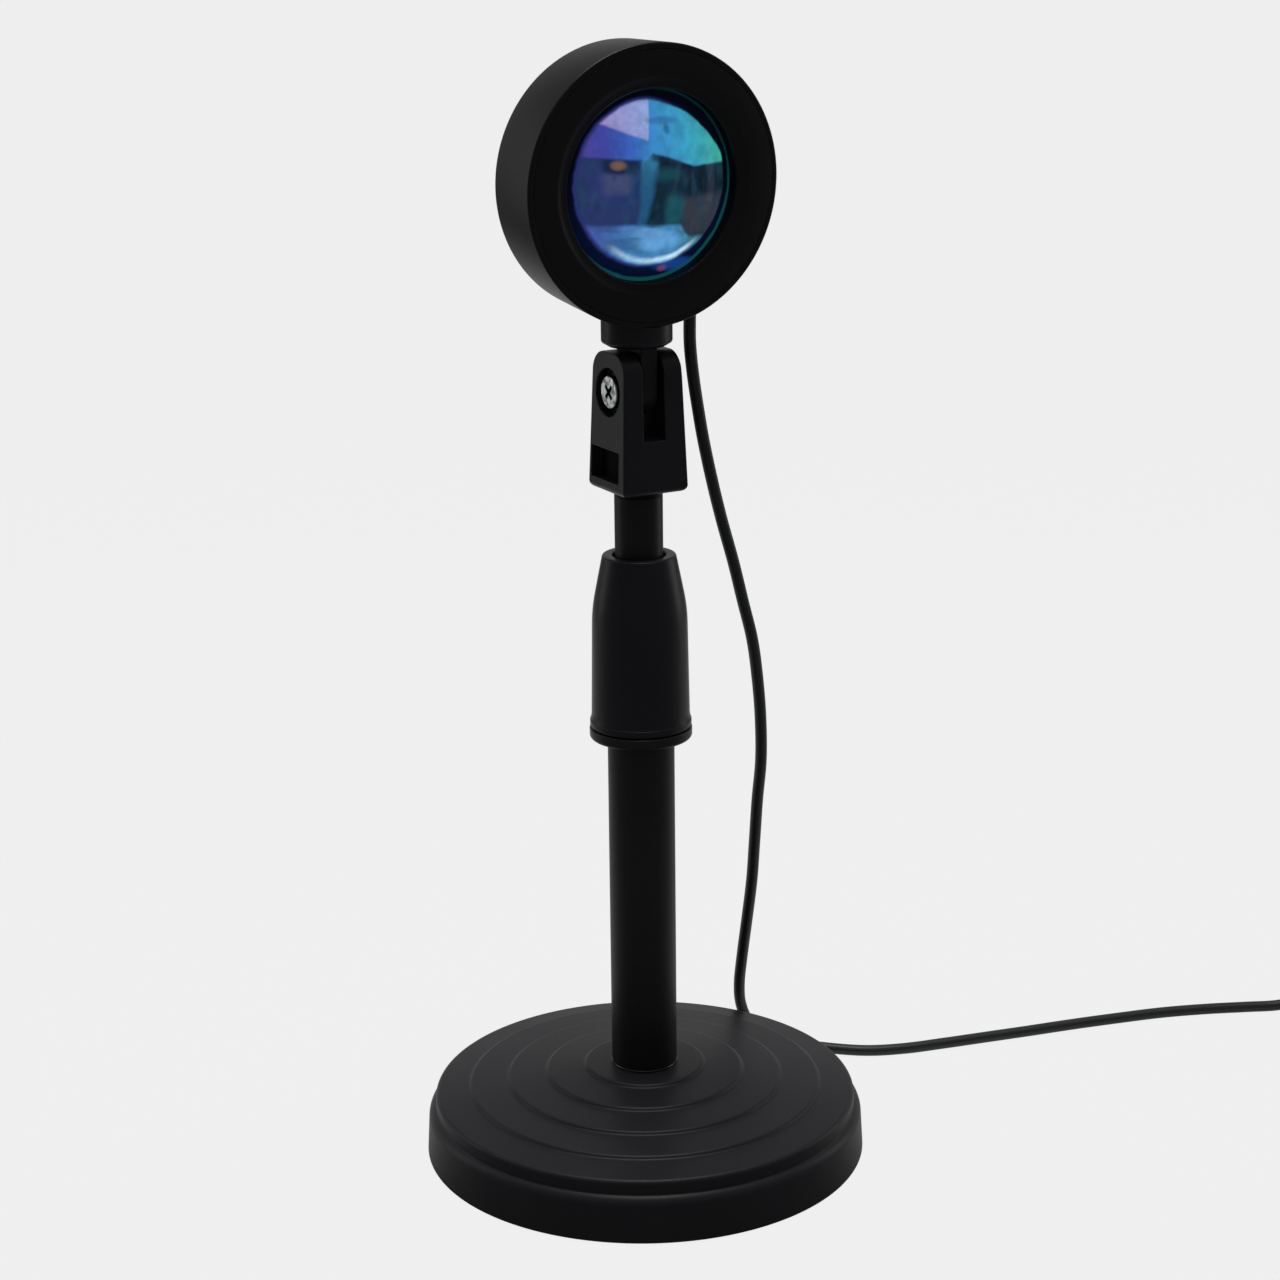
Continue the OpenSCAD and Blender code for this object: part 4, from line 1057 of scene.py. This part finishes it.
def shell_outline(inset):
    """One side of the stamped sheet, from the skirt's foot to the hole in the hub."""
    s = sizes()
    radius = high("base_shell").x
    hub = high("base_shell").z
    foot = low("base_shell").z
    edge = s.skirt_edge
    plate = radius - s.shoulder
    lean, fillet, round_over, bolt_hole = 0.7 * MM, 0.6 * MM, 1.6 * MM, 4.5 * MM
    outline = [(radius - inset, foot)]
    # the skirt's rounded edge runs into the hollow at the foot of the plate's riser
    across, up = radius - lean - edge, s.skirt_height - edge
    turn = math.acos(max(0.0, (plate + fillet - across) / (edge + fillet)))
    hollow = up + (edge + fillet) * math.sin(turn)
    turn = math.degrees(turn)
    outline += arc((across, up), edge - inset, 0, turn, 12)
    outline += arc((plate + fillet, hollow), fillet + inset, 180 + turn, 180, 6)
    outline += arc(
        (plate - round_over, s.plate_height - round_over), round_over - inset, 0, 90, 10
    )
    count = round((hub - s.plate_height) / s.terrace_rise)
    for i in range(1, count + 1):
        top = hub - (count - i) * s.terrace_rise
        step = s.hub_radius + (count - i) * s.terrace_width
        outline += riser(step, top - s.terrace_rise + s.tread_slope, top, inset)
    return outline + [(bolt_hole, hub - inset)]


class LAMP_OT_base(bpy.types.Operator):
    """Adds the stamped shell of the base and finishes the weight, pad and bolt"""

    bl_idname = "lamp.base"
    bl_label = "Base"

    def execute(self, context):
        outline = shell_outline(0.0) + shell_outline(sizes().sheet)[::-1]
        shell, paint = spun(outline, WIDE_TURN), coat("powder_coat")
        piece("base_shell_pressing", shell, paint, "stand", "base_shell", sharp=50)
        dress("base_weight", rough_casting("cast_weight", (0.07, 0.07, 0.075)))
        dress("base_pad", plain_moulding("foam_rubber", (0.012, 0.012, 0.012), 0.8, 0.3))
        dress("base_bolt", zinc())
        dress("bolt_washer", zinc())
        dress("foot_plug", plated_metal("turned_steel", (0.5, 0.5, 0.52), 0.3))
        return {"FINISHED"}


def ring_outline(node, bore, edge=0.3 * MM):
    """Outline of a plain ring with rounded edges, from a node's box."""
    floor, top = low(node).z, high(node).z
    radius = high(node).x
    return rounded([(bore, floor), (radius, floor), (radius, top), (bore, top)], edge)


def collar_outline():
    """The collar ring's outline, with the spigot that the sleeve turns on."""
    floor, top = low("collar_ring").z, low("twist_sleeve").z - 0.5 * MM
    radius, end = high("collar_ring").x, high("collar_ring").z
    bore, spigot = high("outer_tube").x + 0.05 * MM, 13.05 * MM
    foot_edge, top_edge = 1.2 * MM, 0.4 * MM
    outline = [(bore, floor)]
    outline += arc((radius - foot_edge, floor + foot_edge), foot_edge, 270, 360, 6)
    outline += arc((radius - top_edge, top - top_edge), top_edge, 0, 90, 4)
    return outline + [(spigot, top), (spigot, end), (bore, end)]


def sleeve_outline():
    """The twist sleeve's outline: flared foot, long grip and cone."""
    floor, top = low("twist_sleeve").z, high("twist_sleeve").z
    foot = high("twist_sleeve").x
    low_r, high_r, top_r = 16.25 * MM, 15.65 * MM, 12.2 * MM
    shoulder = top - 18.3 * MM
    lean = math.degrees(math.atan((high_r - top_r) / (top - shoulder)))
    mouth, bore = 8.8 * MM, 13.15 * MM
    lip, band, band_edge = 0.5 * MM, 2.0 * MM, 0.4 * MM
    flare_foot, flare_rise, flare_r = floor + 2.5 * MM, 2.4 * MM, foot - 0.25 * MM
    outline = [(bore, floor)] + arc((foot - lip, floor + lip), lip, 270, 360, 4)
    outline += arc((foot - band_edge, floor + band), band_edge, 0, 60, 4)
    for i in range(9):
        inward = math.sin(i / 8 * math.pi / 2)
        outline.append((flare_r - (flare_r - low_r) * inward, flare_foot + flare_rise * i / 8))
    blend, top_edge = 5 * MM, 0.8 * MM
    here = Vector((high_r, shoulder))
    below = Vector((high_r + (low_r - high_r) * blend / (shoulder - floor), shoulder - blend))
    above = here + Vector((top_r - high_r, top - shoulder)).normalized() * blend
    outline += bend(below, here, above, 8)
    outline += arc((top_r - top_edge, top - top_edge), top_edge, lean, 90, 6)
    outline += arc((mouth + lip, top - lip), lip, 90, 180, 5)
    return outline + [(mouth, top - 9 * MM), (bore, top - 32 * MM)]


class LAMP_OT_post(bpy.types.Operator):
    """Adds the tube, the collar ring and the twist sleeve"""

    bl_idname = "lamp.post"
    bl_label = "Post"

    def execute(self, context):
        paint, plastic = coat("powder_coat"), coat("satin_plastic")
        foot = spun(ring_outline("foot_washer", 5 * MM, 0.4 * MM))
        piece("foot_ring", foot, coat("foot_gasket"), "stand", "foot_washer")
        tube = spun(ring_outline("outer_tube", 9.9 * MM, 0.5 * MM))
        piece("post_tube", tube, paint, "stand", "outer_tube")
        piece("collar_ring_moulding", spun(collar_outline()), plastic, "stand", "collar_ring")
        sleeve = spun(sleeve_outline(), 200)
        piece("twist_sleeve_moulding", sleeve, plastic, "sleeve", "twist_sleeve")
        dress("collet", plain_moulding("collet_plastic", (0.02, 0.02, 0.02), 0.5))
        return {"FINISHED"}


class LAMP_OT_rod(bpy.types.Operator):
    """Adds the sliding rod and finishes its bush and stud"""

    bl_idname = "lamp.rod"
    bl_label = "Rod"

    def execute(self, context):
        tube = spun(ring_outline("inner_rod", 6.9 * MM, 0.4 * MM))
        piece("sliding_rod", tube, coat("powder_coat"), "rod", "inner_rod")
        dress("rod_bush", plain_moulding("natural_plastic", (0.7, 0.69, 0.64), 0.4))
        dress("rod_stud", plated_metal("black_oxide", (0.02, 0.02, 0.022), 0.45))
        return {"FINISHED"}


# ---------------- clip

CLIP_WALL = 2.5 * MM


def round_clip_foot(bm):
    """Rounds the outer edge of the clip's underside."""
    foot = low("clip_body").z
    side = high("clip_body").x - CLIP_WALL
    radius, steps = 2.2 * MM, 6
    for i in range(1, steps + 1):
        level = foot + radius * (1 - math.cos(math.radians(90 * i / steps)))
        bmesh.ops.bisect_plane(
            bm, geom=bm.verts[:] + bm.edges[:] + bm.faces[:], dist=MERGED,
            plane_co=(0, 0, level), plane_no=(0, 0, 1),
        )
    for vert in bm.verts:
        share = 1 - (vert.co.z - foot) / radius
        if share > 0:
            inset = radius * (1 - math.sqrt(max(0.0, 1 - share * share)))
            if abs(vert.co.x) > side:
                vert.co.x -= math.copysign(inset, vert.co.x)
            if abs(vert.co.y) > side:
                vert.co.y -= math.copysign(inset, vert.co.y)


class LAMP_OT_clip(bpy.types.Operator):
    """Adds the clip with its rounded edges, the hinge screw and its nut"""

    bl_idname = "lamp.clip"
    bl_label = "Clip"

    def execute(self, context):
        clip = rounded_copy(
            "clip_moulding", "clip_body", coat("satin_plastic"), "clip", 0.4 * MM,
            shape=round_clip_foot,
        )
        clip.data.materials.append(coat("pocket_plastic"))
        foot, side = low("clip_body").z, high("clip_body").x - CLIP_WALL
        window_foot, window_top = foot + 3 * MM, foot + 15 * MM
        window_half, slot_half = 8.5 * MM, 4.2 * MM
        # faces inside the side windows and the slot take the pocket coat, painted shade in these
        # recesses
        for face in clip.data.polygons:
            at = face.center
            window = abs(at.x) < window_half and window_foot < at.z < window_top
            slot = abs(at.x) < slot_half and at.z > window_top and abs(at.y) < side
            face.material_index = int(window or slot)
        head, head_depth, cross_reach = low("hinge_screw").x, 1 * MM, 4.6 * MM
        hinge = (low("hinge_screw").z + high("hinge_screw").z) / 2
        middle = Vector((head, 0.0, hinge))

        def head_rim(at):
            """1 for the edge round the screw's head, 0 for those of its cross and thread."""
            return float((at - middle).length > cross_reach and at.x < head + head_depth)

        rounded_copy(
            "hinge_screw_plated", "hinge_screw", screw_plating(head, hinge), "clip", 0.4 * MM,
            weight=head_rim,
        )
        rounded_copy("hinge_nut_plated", "hinge_nut", zinc(), "clip", 0.25 * MM)
        dress("hinge_washers", plain_moulding("nylon", (0.6, 0.6, 0.57), 0.4))
        dress("thread_insert", plated_metal("brass", (0.72, 0.5, 0.2), 0.28))
        return {"FINISHED"}


# ---------------- head

SEAM_EDGE = 0.12 * MM
SEAM_DEPTH = 2.5 * MM


def housing_outline():
    s = sizes()
    half = s.drum_depth / 2
    back, back_edge = s.drum_back, 2.0 * MM
    face, face_edge = high("lamp_housing").x, 0.6 * MM
    cavity = back - s.drum_wall
    seam = face - 1.9 * MM
    outline = [(cavity, -half)]
    outline += arc((back - back_edge, -half + back_edge), back_edge, 270, 360, 8)
    outline += arc((face - face_edge, half - face_edge), face_edge, 0, 90, 5)
    outline += arc((seam + SEAM_EDGE, half - SEAM_EDGE), SEAM_EDGE, 90, 180, 3)
    return outline + [(seam, half - SEAM_DEPTH), (cavity, half - SEAM_DEPTH)]


def bezel_outline():
    s = sizes()
    half = s.drum_depth / 2
    rim = high("lamp_housing").x - 2.0 * MM
    opening = s.opening
    lip, tube = opening + 1.6 * MM, opening + 3.4 * MM
    crown, throat = 2.6 * MM, 0.9 * MM
    outline = [(rim, half - SEAM_DEPTH)]
    outline += arc((rim - SEAM_EDGE, half - SEAM_EDGE), SEAM_EDGE, 0, 90, 3)
    outline += arc((opening + 4.6 * MM, half - crown), crown, 90, 120, 4)
    outline += arc((opening + throat, half - 2.0 * MM), throat, 75, 180, 6)
    floor = half - s.lens_recess
    bottom = floor - 7.0 * MM
    outline += [(opening, floor), (lip, floor), (lip, bottom), (tube, bottom)]
    return outline + [(tube, half - SEAM_DEPTH)]


def drum_bottom(x, y):
    """Height of the drum's underside over a point of the table."""
    s = sizes()
    share = 0.5 - y / s.drum_depth
    radius = s.drum_back + (high("lamp_housing").x - s.drum_back) * share
    return drum_centre() + y * math.tan(s.face_droop) - math.sqrt(radius ** 2 - x ** 2)


def add_neck():
    """Round neck with a chamfered foot, and the tongue that the hinge screw goes through."""
    foot = high("clip_body").z + 1.5 * MM
    radius = high("neck").x
    top = foot + 10 * MM
    bore, chamfer, edge = 0.4 * MM, 2.2 * MM, 1.1 * MM
    outline = [(bore, foot), (radius - chamfer, foot)]
    outline += arc((radius - edge, foot + 1.9 * MM), edge, -50, 0, 5)
    bm = spun(outline + [(radius, top), (bore, top)])
    # the neck's top follows the drum's underside and goes into it, except at the front
    front, blend, sunk = -11.0 * MM, 1.5 * MM, 0.9 * MM
    for vert in bm.verts:
        if vert.co.z > top - 0.1 * MM:
            share = min(max((vert.co.y - front) / blend, 0.0), 1.0)
            vert.co.z = drum_bottom(vert.co.x, vert.co.y) + sunk * share
    hinge = low("neck").z + TONGUE_RADIUS
    half = 3.15 * MM
    root = foot + 1 * MM
    side = [(TONGUE_RADIUS, root)] + arc((0.0, hinge), TONGUE_RADIUS, 0, -180, 32)
    side += [(-TONGUE_RADIUS, root)]
    face = bm.faces.new([bm.verts.new((-half, y, z)) for y, z in side])
    pushed = bmesh.ops.extrude_face_region(bm, geom=[face])["geom"]
    moved = [part for part in pushed if isinstance(part, bmesh.types.BMVert)]
    bmesh.ops.translate(bm, verts=moved, vec=(2 * half, 0, 0))
    bmesh.ops.recalc_face_normals(bm, faces=bm.faces)
    layer = bm.edges.layers.float.new(WEIGHTS)
    for line in bm.edges:
        first, last = (vert.co for vert in line.verts)
        if abs(first.x - last.x) < MERGED and abs(abs(first.x) - half) < MERGED:
            line[layer] = 1.0
    return round_edges(piece("neck_moulding", bm, coat("satin_plastic"), "head", "neck"), 0.5 * MM)


class LAMP_OT_head(bpy.types.Operator):
    """Adds the drum, its bezel and back, the neck and the cord's grommet"""

    bl_idname = "lamp.head"
    bl_label = "Head"

    def execute(self, context):
        satin, sheath, place = coat("satin_head"), coat("cord_sheath"), drum_matrix()
        housing = turned(spun(housing_outline(), WIDE_TURN), place)
        piece("drum_housing", housing, satin, "head", "lamp_housing")
        bezel = turned(spun(bezel_outline(), WIDE_TURN), place)
        piece("drum_bezel", bezel, satin, "head", "front_bezel")
        add_neck()
        rounded_copy("drum_back", "back_cover", satin, "head", 0.3 * MM)
        rounded_copy("back_screws", "cover_screws", zinc(), "head", 0.3 * MM)
        rounded_copy("exit_grommet", "cord_grommet", sheath, "head", 0.3 * MM)
        dress("cord_inner", sheath)
        dress("cord_clamp", plain_moulding("clamp_nylon", (0.6, 0.6, 0.57), 0.4))
        dress("inner_leads", plain_moulding("wire_red", (0.35, 0.02, 0.02), 0.35))
        dress("neck_screws", zinc())
        return {"FINISHED"}


def lens_outline():
    s = sizes()
    rim, flange, edge = s.opening - 0.4 * MM, s.opening + 1.4 * MM, 0.3 * MM
    front = s.drum_depth / 2 - s.lens_recess - 0.6 * MM
    back = front - 3 * MM
    sphere = front - math.sqrt(s.lens_curve ** 2 - rim ** 2)
    rise = math.degrees(math.asin(rim / s.lens_curve))
    dome = arc((0, sphere), s.lens_curve, 90 - rise, 90, 40)
    dome[-1] = (0.0, dome[-1][1])
    return [(0.0, back), (flange - edge, back), (flange, back + edge), (flange, front)] + dome


class LAMP_OT_optics(bpy.types.Operator):
    """Adds the dome lens and finishes the pieces behind it"""

    bl_idname = "lamp.optics"
    bl_label = "Optics"

    def execute(self, context):
        place = drum_matrix()
        glass = coated_lens("coated_lens", place.translation, sizes().opening)
        dome = turned(spun(lens_outline(), 192, closed=False), place)
        piece("dome_lens", dome, glass, "head", "front_lens", sharp=40)
        dress("lens_gasket", plain_moulding("silicone", (0.05, 0.16, 0.18), 0.3))
        dress("colour_filter", plain_moulding("colour_film", (0.8, 0.25, 0.08), 0.15))
        dress("lens_retainer", coat("satin_head"))
        dress("reflector", plain_moulding("white_reflector", (0.8, 0.8, 0.78), 0.25))
        dress("led_board", plain_moulding("white_board", (0.75, 0.77, 0.76), 0.3))
        dress("led_chip", plain_moulding("phosphor", (0.8, 0.6, 0.08), 0.35))
        dress("board_screws", zinc())
        dress("heat_spreader", plated_metal("bare_aluminium", (0.7, 0.71, 0.72), 0.35))
        return {"FINISHED"}


# ---------------- switch and plug


class LAMP_OT_switch(bpy.types.Operator):
    """Adds the two halves of the switch and its button"""

    bl_idname = "lamp.switch"
    bl_label = "Switch"

    def execute(self, context):
        shell = coat("switch_shell")
        rounded_copy("switch_lower", "switch_base", shell, "stand", 0.35 * MM)
        rounded_copy("switch_upper", "switch_cover", shell, "stand", 0.45 * MM)
        grey = plain_moulding("button_grey", (0.03, 0.03, 0.034), 0.3)
        rounded_copy("push_button", "switch_button", grey, "button", 0.2 * MM)
        dress("switch_core", plain_moulding("core_blue", (0.03, 0.08, 0.25), 0.4))
        return {"FINISHED"}


class LAMP_OT_plug(bpy.types.Operator):
    """Adds the plug's moulded body and finishes its shell, tongue and contacts"""

    bl_idname = "lamp.plug"
    bl_label = "Plug"

    def execute(self, context):
        rounded_copy("plug_moulding", "plug_body", coat("plug_overmould"), "stand", 0.4 * MM)
        dress("plug_shell", plated_metal("nickel", (0.7, 0.7, 0.7), 0.2))
        dress("plug_tongue", plain_moulding("tongue_white", (0.8, 0.8, 0.8), 0.4))
        dress("plug_contacts", plated_metal("gold_plate", (0.83, 0.62, 0.25), 0.2))
        return {"FINISHED"}


# ---------------- panel and main

OPERATORS = [
    LAMP_OT_stage, LAMP_OT_cords, LAMP_OT_base, LAMP_OT_post, LAMP_OT_rod, LAMP_OT_clip,
    LAMP_OT_head, LAMP_OT_optics, LAMP_OT_switch, LAMP_OT_plug,
]
GROUPS = {"lamp_sizes": LampSizes, "lamp_colours": LampColours, "lamp_studio": LampStudio}


class LAMP_PT_panel(bpy.types.Panel):
    """Lists the lamp's pieces and settings"""

    bl_idname = "LAMP_PT_panel"
    bl_label = "Sunset projection lamp"
    bl_space_type = "VIEW_3D"
    bl_region_type = "UI"
    bl_category = "Lamp"

    def draw(self, context):
        for operator in OPERATORS:
            self.layout.operator(operator.bl_idname)
        for name, group in GROUPS.items():
            box = self.layout.box()
            for key in group.__annotations__:
                box.prop(getattr(context.scene, name), key)


def register():
    for group in GROUPS.values():
        bpy.utils.register_class(group)
    for name, group in GROUPS.items():
        setattr(bpy.types.Scene, name, bpy.props.PointerProperty(type=group))
    for item in [*OPERATORS, LAMP_PT_panel]:
        bpy.utils.register_class(item)


def unregister():
    for item in [LAMP_PT_panel, *reversed(OPERATORS)]:
        bpy.utils.unregister_class(item)
    for name in GROUPS:
        delattr(bpy.types.Scene, name)
    for group in GROUPS.values():
        bpy.utils.unregister_class(group)


def main():
    register()
    for operator in OPERATORS:
        group, name = operator.bl_idname.split(".")
        getattr(getattr(bpy.ops, group), name)()


if __name__ == "__main__":
    main()
